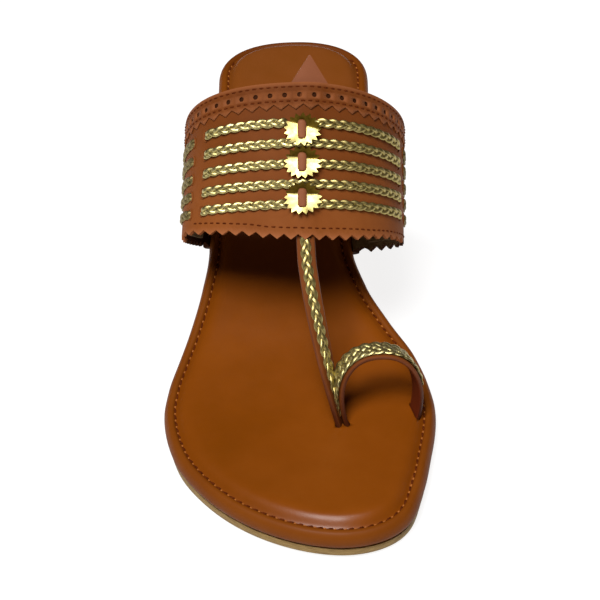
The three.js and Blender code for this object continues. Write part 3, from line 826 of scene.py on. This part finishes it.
def strip_section(width, thick):
    """A flat strip's cross-section with rounded edges, as (across, lift) rows."""
    radius, steps = thick / 2, 2 * STRIP_MESH.corners
    rows = []
    for side in (1, -1):
        for k in range(steps + 1):
            angle = side * math.pi / 2 - math.pi * k / steps
            across = side * (width / 2 - radius) + radius * math.cos(angle)
            rows.append((across, radius * math.sin(angle) - radius))
    return np.array(rows)


def strip_tube(stations, section):
    return swept(*stations, *section.T)


def strip_shades(stations, section):
    """Numbers for a strip tube's faces: 0 on its outer face, 1 on its back, 2 on its edges."""
    step = np.roll(section, -1, axis=0) - section
    middles = section + step / 2
    lean = np.abs(step[:, 1]) / np.linalg.norm(step, axis=1)
    back = np.where(middles[:, 1] > section[:, 1].mean(), 0, 1)
    each = np.where(lean > STRIP_EDGE_LEAN, 2, back).tolist()
    return each * (len(stations[0]) - 1) + [2, 2]


STRAP_LINE = strap_stations()
LOOP_LINE = loop_stations()


def straps():
    for name, stations, size in (("toe_strap", STRAP_LINE, STRAP), ("toe_loop", LOOP_LINE, LOOP)):
        section = strip_section(size.width, size.thick)
        shades = strip_shades(stations, section)
        shape = strip_tube(stations, section)
        obj = make(name + "_leather", *shape, (TAN_STRAP, STRAP_BACK, STRAP_EDGE), shades=shades)
        settle(obj, "tan_leather", "upper")


# Sole
sole_plan = plan_of(gathered(0, LENGTH, SOLE_STATIONS), sole_edge)


def outsole():
    rows = [
        (row.inset, lambda a, s=row.share: mix(sole_under(a), sole_top(a), s)) for row in OUTSOLE_EDGE
    ]
    obj = make("outsole_board", *stack_of_rings(sole_rings(sole_plan, rows)), SOLE_BOARD)
    settle(obj, "sole_rubber", "outsole")


def section_curve(rows, per_row):
    """The footbed's edge section as a smooth curve of (inset, rise) points."""
    pts = np.array([[row.inset, row.rise] for row in rows])
    ends = np.concatenate([[2 * pts[0] - pts[1]], pts, [2 * pts[-1] - pts[-2]]])
    curve = []
    for i in range(1, len(ends) - 2):
        a, b, c, d = ends[i - 1 : i + 3]
        for t in np.arange(per_row) / per_row:
            bend = (2 * a - 5 * b + 4 * c - d) * t**2 + (3 * b - a - 3 * c + d) * t**3
            curve.append(0.5 * (2 * b + (c - a) * t + bend))
    return np.array(curve + [pts[-1]])


def pad_crown(margin, along):
    """The padding swells inside its seam, and dips where heel and ball rest."""
    dips = sum(row.dip * np.exp(-(((along - row.along) / row.reach) ** 2)) for row in PAD_DIPS)
    return smooth(margin / PAD_CROWN.margin) * (PAD_CROWN.rise - dips)


def pad_swell(along):
    """The padding is fuller towards the toe and the heel's back."""
    return sum(
        row.rise * smooth((along - row.start) / (row.end - row.start)) for row in PAD_SWELL
    )


def footbed():
    """Rings up its rolled edge, then rungs across its crowned top."""
    section = section_curve(FOOTBED_EDGE, FOOTBED_MESH.per_row)
    rows = []
    for inset, rise in section:
        share = smooth((inset - PAD_START.inset) / PAD_START.reach)
        rows.append((inset, lambda a, r=rise, s=share: sole_top(a) + r + s * pad_swell(a)))
    rings = sole_rings(sole_plan, rows)
    points, faces = stack_of_rings(rings)
    count, columns = rings.shape[1], FOOTBED_MESH.columns
    half = count // 2
    faces = faces[:-half]
    seam, top, offset = rings[-1], (len(rings) - 1) * count, len(points)
    share = np.linspace(0, 1, columns + 1)[1:-1, None]
    inner = np.array([mix(seam[i][None], seam[count - i][None], share) for i in range(1, half)])
    margin = np.array(
        [np.linalg.norm(row[:, None, :2] - seam[None, :, :2], axis=-1).min(axis=1) for row in inner]
    )
    along = LENGTH / 2 - inner[..., 1]
    inner[..., 2] = sole_top(along) + section[-1, 1] + pad_swell(along) + pad_crown(margin, along)
    points = np.concatenate([points, inner.reshape(-1, 3)])

    def rung(i):
        if i in (0, half):
            return [top + i] * (columns + 1)
        start = offset + (i - 1) * (columns - 1)
        return [top + i, *range(start, start + columns - 1), top + count - i]

    for i in range(half):
        near, far = rung(i), rung(i + 1)
        for j in range(columns):
            faces.append(list(dict.fromkeys([near[j], far[j], far[j + 1], near[j + 1]])))
    rim_faces = count * int(np.argmax(section[:, 0] >= STITCH_GROOVE.inset))
    shades = [1] * rim_faces + [0] * (len(faces) - rim_faces)
    obj = make("footbed_padded", points, faces, (TAN_BED, TAN_ROLL), shades=shades)
    first, last = slice(0, SLIT_STATIONS), slice(-SLIT_STATIONS, None)
    ends = ((STRAP_LINE, last, STRAP), (LOOP_LINE, first, LOOP), (LOOP_LINE, last, LOOP))
    for stations, span, size in ends:
        cut_slit(obj, [v[span] for v in stations], size)
    settle(obj, "tan_leather", "footbed")


def cut_slit(obj, stations, size):
    """Cuts a close slit in a piece for the end of a strip."""
    line, across, outward = stations
    section = strip_section(size.width + SLIT_SPARE, size.thick + SLIT_SPARE)
    shape = strip_tube((line + SLIT_SPARE / 2 * outward, across, outward), section)
    blade = make("slit_cutter", *shape, obj.data.materials[0])
    cutter = obj.modifiers.new("slit", "BOOLEAN")
    cutter.operation = "DIFFERENCE"
    cutter.solver = "EXACT"
    cutter.object = blade
    shaped = obj.evaluated_get(bpy.context.evaluated_depsgraph_get())
    mesh = bpy.data.meshes.new_from_object(shaped)
    obj.modifiers.clear()
    obj.data = mesh
    bpy.data.objects.remove(blade)


def heel_ring(row, height):
    def edge(along, side):
        back = rounded(along - row.back, **HEEL_BACK_ROUND)
        breast = rounded(row.breast - along, **HEEL_BREAST_ROUND)
        return row.centre + side * row.half * back * breast

    p = plan_of(gathered(row.back, row.breast, HEEL_MESH.stations), edge)
    return at(p[:, 0], p[:, 1], height(p[:, 1]))


def heel():
    curves = {key: through(HEEL_LEVELS, key, "level") for key in ("back", "breast", "half", "centre")}
    foot = HEEL_TIP_THICK + HEEL_SEAT
    rings = []
    for level in np.linspace(0, 1, HEEL_MESH.levels):
        row = Sizes((key, float(curve(level))) for key, curve in curves.items())
        rings.append(heel_ring(row, lambda a, s=level: mix(foot, sole_under(a) - HEEL_SEAT, s)))
    settle(make("heel_cover", *stack_of_rings(np.array(rings)), HEEL_COVER), "heel_leather", "heel_block")
    low = HEEL_LEVELS[0]
    rings = []
    for edge in HEEL_TIP_EDGE:
        inset = edge.inset
        row = Sizes(low, back=low.back + inset, breast=low.breast - inset, half=low.half - inset)
        rings.append(heel_ring(row, lambda a, h=edge.height: h + 0 * a))
    settle(make("heel_tip_board", *stack_of_rings(np.array(rings)), SOLE_BOARD), "sole_rubber", "heel_tip")


# Instep band
def front_edge(turn, column):
    """The front edge is drawn back on the little-toe side and hangs lower in the middle."""
    return between(FRONT_EDGE, column, "turn", turn)


def pinked(count, per_tooth):
    """The share of the notch at each column: none at a tooth's tip, full between teeth."""
    phase = (np.arange(count) % per_tooth) / per_tooth
    return np.abs(1 - 2 * ((phase + 0.5) % 1))


def skirted(grid, thick=0.0):
    """The band's ends curl in to the footbed's side and down to the outsole, drawn back in front."""
    rows = np.linspace(0, 1, grid.shape[1])
    grid = grid.copy()

    def close(column, side, share):
        limit = sole_edge(LENGTH / 2 - column[:, 1], side) + side * (SKIRT.gap + thick)
        column[:, 0] = mix(column[:, 0], side * np.minimum(side * column[:, 0], side * limit), share)

    def foot(column, side, share):
        low = looked_up(rows * (1 - SKIRT.recede * share), rows, column)
        close(low, side, 1)
        low[:, 0] -= side * SKIRT.tuck * share**2
        low[:, 2] = mix(low[:, 2], sole_top(LENGTH / 2 - low[:, 1]) + GAP, share)
        return low

    for k in range(SKIRT.columns):
        share = smooth(1 - k / SKIRT.columns)
        close(grid[k], -1, share)
        close(grid[-1 - k], 1, share)
    before = [foot(grid[0], -1, share) for share in SKIRT.shares]
    after = [foot(grid[-1], 1, share) for share in reversed(SKIRT.shares)]
    return np.concatenate([before, grid, after])


def band():
    """The outer leather: tan outside, dark inside and on its front edge's cut faces away from the middle
    (the flesh side, darkened further as painted shade), and suede where the inside shows by the big toe.
    """
    per_tooth = BAND_MESH.per_tooth
    turns = even_turns(-1, 1, 1.0, BAND_MESH.pitch / per_tooth, 2 * per_tooth)
    notch = pinked(len(turns), per_tooth) * front_edge(turns, "tooth")
    ends = 1 - (notch + front_edge(turns, "draw")) / band_depth(turns)
    reach = np.linspace(0, 1, BAND_MESH.rows)[None, :] * ends[:, None]
    spread = turns[:, None] + 0 * reach
    outer = skirted(band_offset(spread, reach, band_swell(spread, reach)), WALL)
    inner = skirted(band_offset(spread, reach, -LEATHER))
    points, faces = slab(outer, inner)
    columns, rows = outer.shape[:2]
    sheet = (columns - 1) * (rows - 1)

    def back(face):
        return 2 if face[0] % (columns * rows) // rows > columns // 2 else 1

    def edge(face):
        away = abs(face[0] // rows / (columns - 1) - 0.5)
        return int(face[0] % rows > 0 and away > FRONT_EDGE_SHADE)

    shades = [0] * sheet + [back(face) for face in faces[sheet : 2 * sheet]]
    shades += [edge(face) for face in faces[2 * sheet :]]
    obj = make("band_leather", points, faces, (TAN_BAND, BAND_FLESH_AND_SHADE, LINING), shades=shades)
    settle(obj, "tan_leather", "upper")


def band_lining():
    turns = even_turns(-LINING_SHEET.end, LINING_SHEET.end, 1.0, LINING_SHEET.step)
    ends = 1 - (LINING_SHEET.margin + front_edge(turns, "draw")) / band_depth(turns)
    reach = np.linspace(0, 1, LINING_SHEET.rows)[None, :] * ends[:, None]
    spread = turns[:, None] + 0 * reach
    outer = band_offset(spread, reach, -LEATHER - LINING_SHEET.gap)
    inner = band_offset(spread, reach, -WALL - LINING_SHEET.swell * band_swell(spread, reach))
    settle(make("band_lining", *slab(outer, inner), LINING), "tan_leather", "upper")


def rear_trim():
    """Cells along the rear edge, each with one punched hole and one tooth."""
    tooth = TRIM_TOOTH.shape
    per_cell = len(tooth) - 1
    turns = even_turns(-TRIM.end, TRIM.end, TRIM.reach, TRIM_TOOTH.pitch / per_cell, per_cell)
    cells = (len(turns) - 1) // per_cell
    scale = band_depth(turns) / band_depth(0.0)
    near, far = TRIM_HOLE.at - TRIM_HOLE.room, TRIM_HOLE.at + TRIM_HOLE.room
    spots, faces, known = [], [], {}

    def surface(column, across):
        turn, size = (np.interp(column, np.arange(len(turns)), v) for v in (turns, scale))
        return turn, across * size / band_depth(turn)

    def spot(column, across):
        key = (round(column, 4), round(across, 4))
        if key not in known:
            known[key] = len(spots)
            spots.append(surface(column, across))
        return known[key]

    def patch(column, nears, fars):
        """One face between two columns, from nears to fars across the strip."""
        corners = ((0, nears[0]), (0, fars[0]), (1, fars[1]), (1, nears[1]))
        faces.append([spot(column + k, across) for k, across in corners])

    def hole(start):
        """Faces from a square of the strip in to the round hole in its middle."""
        square, ring = [], []
        for k in range(4 * per_cell):
            side, step = divmod(k, per_cell)
            s = step / per_cell
            u, v = [(s, 0), (1, s), (1 - s, 1), (0, 1 - s)][side]
            angle = math.atan2(v - 0.5, u - 0.5)
            round_column = TRIM_HOLE.radius * math.cos(angle) * per_cell / TRIM_TOOTH.pitch
            square.append((start + u * per_cell, mix(near, far, v)))
            ring.append(
                (start + per_cell / 2 + round_column, TRIM_HOLE.at + TRIM_HOLE.radius * math.sin(angle))
            )
        for k in range(4 * per_cell):
            n = (k + 1) % (4 * per_cell)
            faces.append([spot(*square[k]), spot(*ring[k]), spot(*ring[n]), spot(*square[n])])

    for start in range(0, cells * per_cell, per_cell):
        for j in range(per_cell):
            for a, b in ((0.0, near / 2), (near / 2, near)):
                patch(start + j, (a, a), (b, b))
            tips = [TRIM.width - TRIM_TOOTH.depth * (1 - tooth[j + k]) for k in (0, 1)]
            middles = [mix(far, tip, 0.5) for tip in tips]
            patch(start + j, (far, far), middles)
            patch(start + j, middles, tips)
        hole(start)
    turn, reach = np.array(spots).T
    shape = band_offset(turn, reach, band_swell(turn, reach) + TRIM.lift + TRIM.thick)
    obj = make("rear_trim_punched", shape, faces, TAN_BAND, closed=False)
    thick = obj.modifiers.new("thickness", "SOLIDIFY")
    thick.thickness = TRIM.thick * MM
    thick.offset = -1
    settle(obj, "tan_leather", "rear_trim")

    # Dark floors under the punched holes: painted shade in the holes.
    spin = circle(HOLE_FLOOR.sides)
    ring = HOLE_FLOOR.radius * np.array([np.cos(spin), np.sin(spin)])
    floors = []
    for c in range(cells):
        turn, reach = surface((c + 0.5) * per_cell, TRIM_HOLE.at)
        forward, over, _ = band_frame(turn, reach)
        levels = band_offset(turn, reach, band_swell(turn, reach) + np.array(HOLE_FLOOR.lifts))
        floors.append(swept(levels, over, forward, *ring))
    settle(make("rear_trim_hole_floors", *joined(floors), BAND_FLESH_AND_SHADE), "tan_leather")


def pointed_tab():
    """The middle strip's pointed end, standing up beyond the band's rear edge."""
    forward, across, outward = band_frame(TAB_TURN, 0.0)
    root = band_offset(TAB_TURN, 0.0, -TAB.sink) + TAB.shift * across
    back = np.array(TAB_ROWS)
    half = np.where(back < 0, TAB.half, TAB.half * (1 - back / (TAB.length + TAB.blunt)))
    spread = half[:, None] * np.linspace(-1, 1, TAB.columns)[None, :]
    bend = TAB.bend * (np.clip(back, 0, None) / TAB.length) ** 2
    lift = bend[:, None] - TAB.curl * spread**2
    middle = root - back[:, None, None] * forward + lift[..., None] * outward
    top = middle + spread[..., None] * across
    obj = make("strip_point", *slab(top, top - TAB.thick * outward), TAN_TAB)
    settle(obj, "tan_leather", "upper")


# Plaits
def plait(line, across, outward, kind, dive_start, dive_end):
    """Strands woven along a line of even steps, whose ends may dive into a slit."""
    length = PLAIT_STEP * (len(line) - 1)
    s = np.linspace(0, length, len(line))
    near = np.ones_like(s)
    if dive_start:
        near = near * smooth(s / DIVE.length)
    if dive_end:
        near = near * smooth((length - s) / DIVE.length)
    strands = kind.strands
    reach = (kind.width - kind.strand) / 2
    spin = circle(STRAND.sides)
    bulge = np.sign(np.sin(spin)) * np.abs(np.sin(spin)) ** STRAND.bulge

    def strand(sway, level, wide, thick):
        path = line + sway[:, None] * across + mix(-DIVE.depth, level, near)[:, None] * outward
        run = unit(np.gradient(path, axis=0))
        side = unit(np.cross(outward, run))
        half = wide / 2 * mix(DIVE.width, 1, near)[:, None]
        return swept(path, side, np.cross(run, side), half * np.cos(spin), thick / 2 * bulge)

    parts = []
    for k in range(strands):
        phase = 2 * np.pi * (s / (strands * kind.lobe) + k / strands)
        sway = reach * np.arcsin(STRAND.turn * np.sin(phase)) / np.arcsin(STRAND.turn)
        level = kind.low + kind.weave * np.sin((strands - 1) * phase)
        parts.append(strand(sway * mix(DIVE.sway, 1, near), level, kind.strand, kind.thick))
    # A strip under the strands, dark (mid gold under the loop), fills the gaps between strands with painted
    # shade.
    level = kind.low - PLAIT_CORE.below + 0 * s
    core = strand(0 * s, level, kind.core * kind.width, PLAIT_CORE.thick)
    points, faces = joined(parts + [core])
    dark = len(core[1])
    return points, faces, [0] * (len(faces) - dark) + [1] * dark


def settle_plait(node, shape):
    points, faces, shades = shape
    # Plaits on the band's sides, its big-toe half and the toe strap take darker gold copies as painted
    # shade.
    strands = next((metal for part, metal in PLAIT_GOLDS.items() if part in node), GOLD_PLAIT)
    core = GOLD_SIDE_SHADE if "loop" in node else GOLD_GAP_SHADE
    obj = make(node + "_strands", points, faces, (strands, core), sharp=60, shades=shades)
    settle(obj, "gold_plait", node)


def run_ends(run, i):
    """A run's ends in one row: the slits on the little-toe side lean outwards to the front."""
    lean = SLIT_LEAN.step * (len(PLAIT_ROWS) // 2 - i)
    ends = (run.start, run.end)
    return [turn + lean * (SLIT_LEAN.outer < turn < SLIT_LEAN.inner) for turn in ends]


def band_plaits():
    """Five rows, each in four runs; two of the rows run on between the discs."""
    for run in PLAIT_RUNS:
        medial = run.start > 0
        kind = SIDE_PLAIT if "side" in run.name else BAND_PLAIT
        for i, row in enumerate(PLAIT_ROWS):
            ends, dives = run_ends(run, i), [True, True]
            if i in ROWS_BETWEEN_DISCS:
                dives = [run.dive_start, run.dive_end]
                ends = [turn if dive else DISC_TURN for turn, dive in zip(ends, dives)]
            turns = even_turns(*ends, row, PLAIT_STEP)
            if medial:
                turns, dives = turns[::-1], dives[::-1]
            forward, _, outward = band_frame(turns, row)
            line = band_offset(turns, row, band_swell(turns, row))
            settle_plait(f"plait_{run.name}_{i + 1}", plait(line, forward, outward, kind, *dives))


def slit_rim(turn, row, inwards):
    """One cut edge, as a thin crescent that thins out at its ends."""
    sweep = np.radians(np.linspace(-SLIT_RIM.sweep, SLIT_RIM.sweep, SLIT_RIM.steps))
    spin = circle(SLIT_RIM.sides)
    forward, over, outward = band_frame(turn, row)
    centre = band_point(turn, row) + inwards * SLIT_RIM.inset * over + SLIT_RIM.lift * outward
    out = np.cos(sweep)[:, None] * -inwards * SLIT_RIM.across * over
    out = out + np.sin(sweep)[:, None] * SLIT_RIM.forward * forward
    fat = SLIT_RIM.fat * np.sqrt(np.clip(np.cos(sweep * SLIT_RIM.taper), SLIT_RIM.thin, 1))[:, None]
    return swept(centre + out, unit(out), outward, fat * np.cos(spin), fat * np.sin(spin))


def slit_rims():
    """The leather's cut edge stands up a little round the slits that the plaits' ends go into."""
    parts = []
    for run in PLAIT_RUNS:
        for i, row in enumerate(PLAIT_ROWS):
            start, end = run_ends(run, i)
            if run.dive_start:
                parts.append(slit_rim(start, row, 1))
            if run.dive_end:
                parts.append(slit_rim(end, row, -1))
    settle(make("slit_rims", *joined(parts), SLIT_EDGE, sharp=70), "tan_leather")


def strip_plait(node, stations, run, kind, dive_start):
    """A plait on the toe strap or loop, between two shares of its length."""
    lengths = arc_lengths(stations[0])
    even = np.arange(run.start * lengths[-1], run.end * lengths[-1], PLAIT_STEP)
    line, across, outward = (looked_up(even, lengths, v) for v in stations)
    across = unit(across)
    line = line - run.shift * across
    settle_plait(node, plait(line, across, unit(outward), kind, dive_start, True))


def strap_plaits():
    strip_plait("plait_toe_strap", STRAP_LINE, STRAP_PLAIT_RUN, STRAP_PLAIT, False)
    strip_plait("plait_toe_loop", LOOP_LINE, LOOP_PLAIT_RUN, LOOP_PLAIT, True)


# Discs and their keepers
def fold_share(disc, x, y):
    """How far behind the fold line a place lies, as a share of the disc's half length."""
    return (disc.lean * x - y) / DISC.forward - DISC_FOLD.at


def softly(x, blend):
    """Rises from nothing at zero, with a small blend at the bend."""
    return np.where(x < -blend, 0, np.where(x > blend, x, (x + blend) ** 2 / (4 * blend)))


def disc_lift(disc, x, y):
    """A disc lies flat on the plaits' ends, leans with them, and folds up behind."""
    fold = DISC_FOLD.rise * DISC.forward * softly(fold_share(disc, x, y), DISC_FOLD.blend)
    return DISC_BASE + x**2 / DISC.flat + DISC.roll * x + fold + DISC.tilt * y


def disc_point(disc, x, y, lift):
    turn = DISC_TURN + x / PER_TURN
    return band_offset(turn, disc.reach + y / band_depth(DISC_TURN), disc_lift(disc, x, y) + lift)


def gold_disc(number, disc):
    """Rings out over the top of a disc, then back in under it."""
    per_tooth = DISC_TEETH.spokes
    spokes = np.arange(per_tooth * DISC_TEETH.count)
    angle = circle(len(spokes)) + DISC_TEETH.spin * number
    edge = mix(DISC_TEETH.notch, 1, np.abs(1 - 2 * ((spokes % per_tooth) / per_tooth)))
    shares = np.linspace(DISC_RINGS.hub, 1, DISC_RINGS.count)[:, None]
    radius = shares * mix(1, edge, smooth((shares - DISC_TEETH.root) / DISC_TEETH.root_length))
    x = DISC.across * radius * np.cos(angle)
    y = -DISC.forward * radius * np.sin(angle)
    wave = sum(row.height * np.sin(row.waves * angle + row.shift * number) for row in DISC_FLUTTER)
    flutter = radius**2 * wave
    top = disc_point(disc, x, y, DISC.thick + flutter)
    low = disc_point(disc, x, y, flutter)
    points, faces = tube(np.concatenate([top, low[::-1]]))
    # Faces behind the fold take the darker foil, painted shade for the dark the folded-up back reflects.
    behind = fold_share(disc, x, y)
    behind = np.concatenate([behind, behind[::-1]]).ravel()
    shades = [int(np.mean(behind[face]) > 0) for face in faces]
    obj = make(f"gold_disc_{number}_foil", points, faces, (GOLD_DISC, GOLD_FOLD_SHADE), sharp=50, shades=shades)
    settle(obj, "gold_foil", f"gold_disc_{number}")


def keeper(number, disc):
    """A short bridge of leather over a disc, rounded at both ends, where it dives."""
    share = np.linspace(-1, 1, KEEPER.rows)
    over = np.linspace(-1, 1, KEEPER.columns)

    def towards_end(start):
        return smooth((np.abs(share) - start) / (1 - start))

    narrow = 1 - KEEPER_END.taper * towards_end(KEEPER_END.taper_at)
    dive = KEEPER_END.dive * towards_end(KEEPER_END.dive_at)
    x = over[None, :] * (KEEPER.width / 2 * narrow)[:, None]
    y = (share * KEEPER.length / 2)[:, None] + 0 * x
    crown = KEEPER.crown * (1 - np.abs(over) ** KEEPER.round)
    flat = DISC_BASE - disc_lift(disc, x, y)
    lift = flat + DISC.thick + KEEPER.thick + crown[None, :] - dive[:, None]
    shape = slab(disc_point(disc, x, y, lift), disc_point(disc, x, y, lift - KEEPER.thick))
    obj = make(f"disc_keeper_{number}_leather", *shape, TAN_KEEPER)
    settle(obj, "tan_leather", f"disc_keeper_{number}")


# Stitching
def stitch_row(name, line, outward, material, pitch, length, radius, slant=0.0, start=0.5):
    """Short thread stitches lying along a line."""
    lengths = arc_lengths(line)
    spin = circle(STITCH_MESH.sides)
    shape = np.array([list(row.values()) for row in STITCH_SHAPE])
    along, fat, lift = shape.T[..., None]
    wide, high = radius * fat * np.cos(spin), STITCH_MESH.flat * radius * fat * np.sin(spin)
    straight, aside = math.cos(slant), math.sin(slant)
    parts = []
    for place in np.arange(start * pitch, lengths[-1] - pitch / 2, pitch):
        centre, tip = (looked_up(place + ahead, lengths, line) for ahead in (0, STITCH_MESH.ahead))
        up = outward[min(int(np.searchsorted(lengths, place)), len(outward) - 1)]
        run = unit(tip - centre)
        side = unit(np.cross(up, run))
        run, side = straight * run + aside * side, straight * side - aside * run
        path = centre + length * along * run + radius * lift * up
        parts.append(swept(path, side, up, wide, high))
    settle(make(name, *joined(parts), material, sharp=70), "tan_leather")


def stitching():
    plan = plan_of(gathered(0, LENGTH, STITCH_GROOVE.stations), sole_edge)
    plan = inset_plan(plan, STITCH_GROOVE.inset)
    plan = plan[plan[:, 1] > STITCH_GROOVE.from_back]
    line = at(plan[:, 0], plan[:, 1], sole_top(plan[:, 1]) + STITCH_GROOVE.rise)
    up = np.broadcast_to([0.0, 0, 1], line.shape)
    stitch_row("stitches_footbed", line, up, THREAD, **FOOTBED_STITCH)
    # Raised puckers between the stitches, in a paler leather as painted highlight.
    stitch_row("seam_puckers", line, up, PUCKER, **SEAM_PUCKER)
    for row in BAND_STITCH_ROWS:
        edge = row.edge
        turns = even_turns(row.start, row.end, edge, BAND_STITCH_STEP)
        scale = band_depth(0.0) if edge == 0.0 else band_depth(turns)
        inset = edge * (front_edge(turns, "draw") + front_edge(turns, "stitch"))
        reach = edge + (row.distance - inset) / scale
        line = band_offset(turns, reach, row.lift + band_swell(turns, reach))
        stitch_row(row.name, line, band_frame(turns, reach)[2], THREAD, **BAND_STITCH)


# Stage, light and camera
def floor():
    half = FLOOR.half
    corners = [(x, y, FLOOR.height) for x, y in ((-half, -half), (half, -half), (half, half), (-half, half))]
    obj = make("floor", corners, [[0, 1, 2, 3]], floor_paint(), closed=False)


def lights():
    world = bpy.data.worlds.new("studio")
    bpy.context.scene.world = world
    world.use_nodes = True
    sky = world.node_tree.nodes["Background"]
    sky.inputs["Color"].default_value = WORLD.tint
    sky.inputs["Strength"].default_value = WORLD.strength
    for row in LIGHTS:
        light = bpy.data.lights.new(row.name, "AREA")
        light.shape = "RECTANGLE"
        light.size, light.size_y = row.size
        light.energy = row.watts
        obj = linked(row.name, light)
        obj.location = row.place
        aim = Vector(LIGHT_TARGET) - Vector(row.place)
        obj.rotation_euler = aim.to_track_quat("-Z", "Y").to_euler()


def camera():
    data = bpy.data.cameras.new("camera")
    data.sensor_fit = "HORIZONTAL"
    data.angle = math.radians(CAMERA_ANGLE)
    data.clip_start = 0.01
    obj = linked("camera", data)
    look = Vector(CAMERA_LOOK).normalized()
    right = look.cross(Vector(CAMERA_UP)).normalized()
    turn = Matrix((right, right.cross(look), -look)).transposed().to_4x4()
    obj.matrix_world = Matrix.Translation(Vector(CAMERA_PLACE) * MM) @ turn
    bpy.context.scene.camera = obj
    bpy.context.scene.view_settings.view_transform = "Standard"


outsole()
footbed()
heel()
band()
band_lining()
rear_trim()
pointed_tab()
straps()
band_plaits()
slit_rims()
strap_plaits()
for number, disc in enumerate(DISCS, 1):
    gold_disc(number, disc)
    keeper(number, disc)
stitching()
floor()
lights()
camera()

bpy.context.view_layer.update()
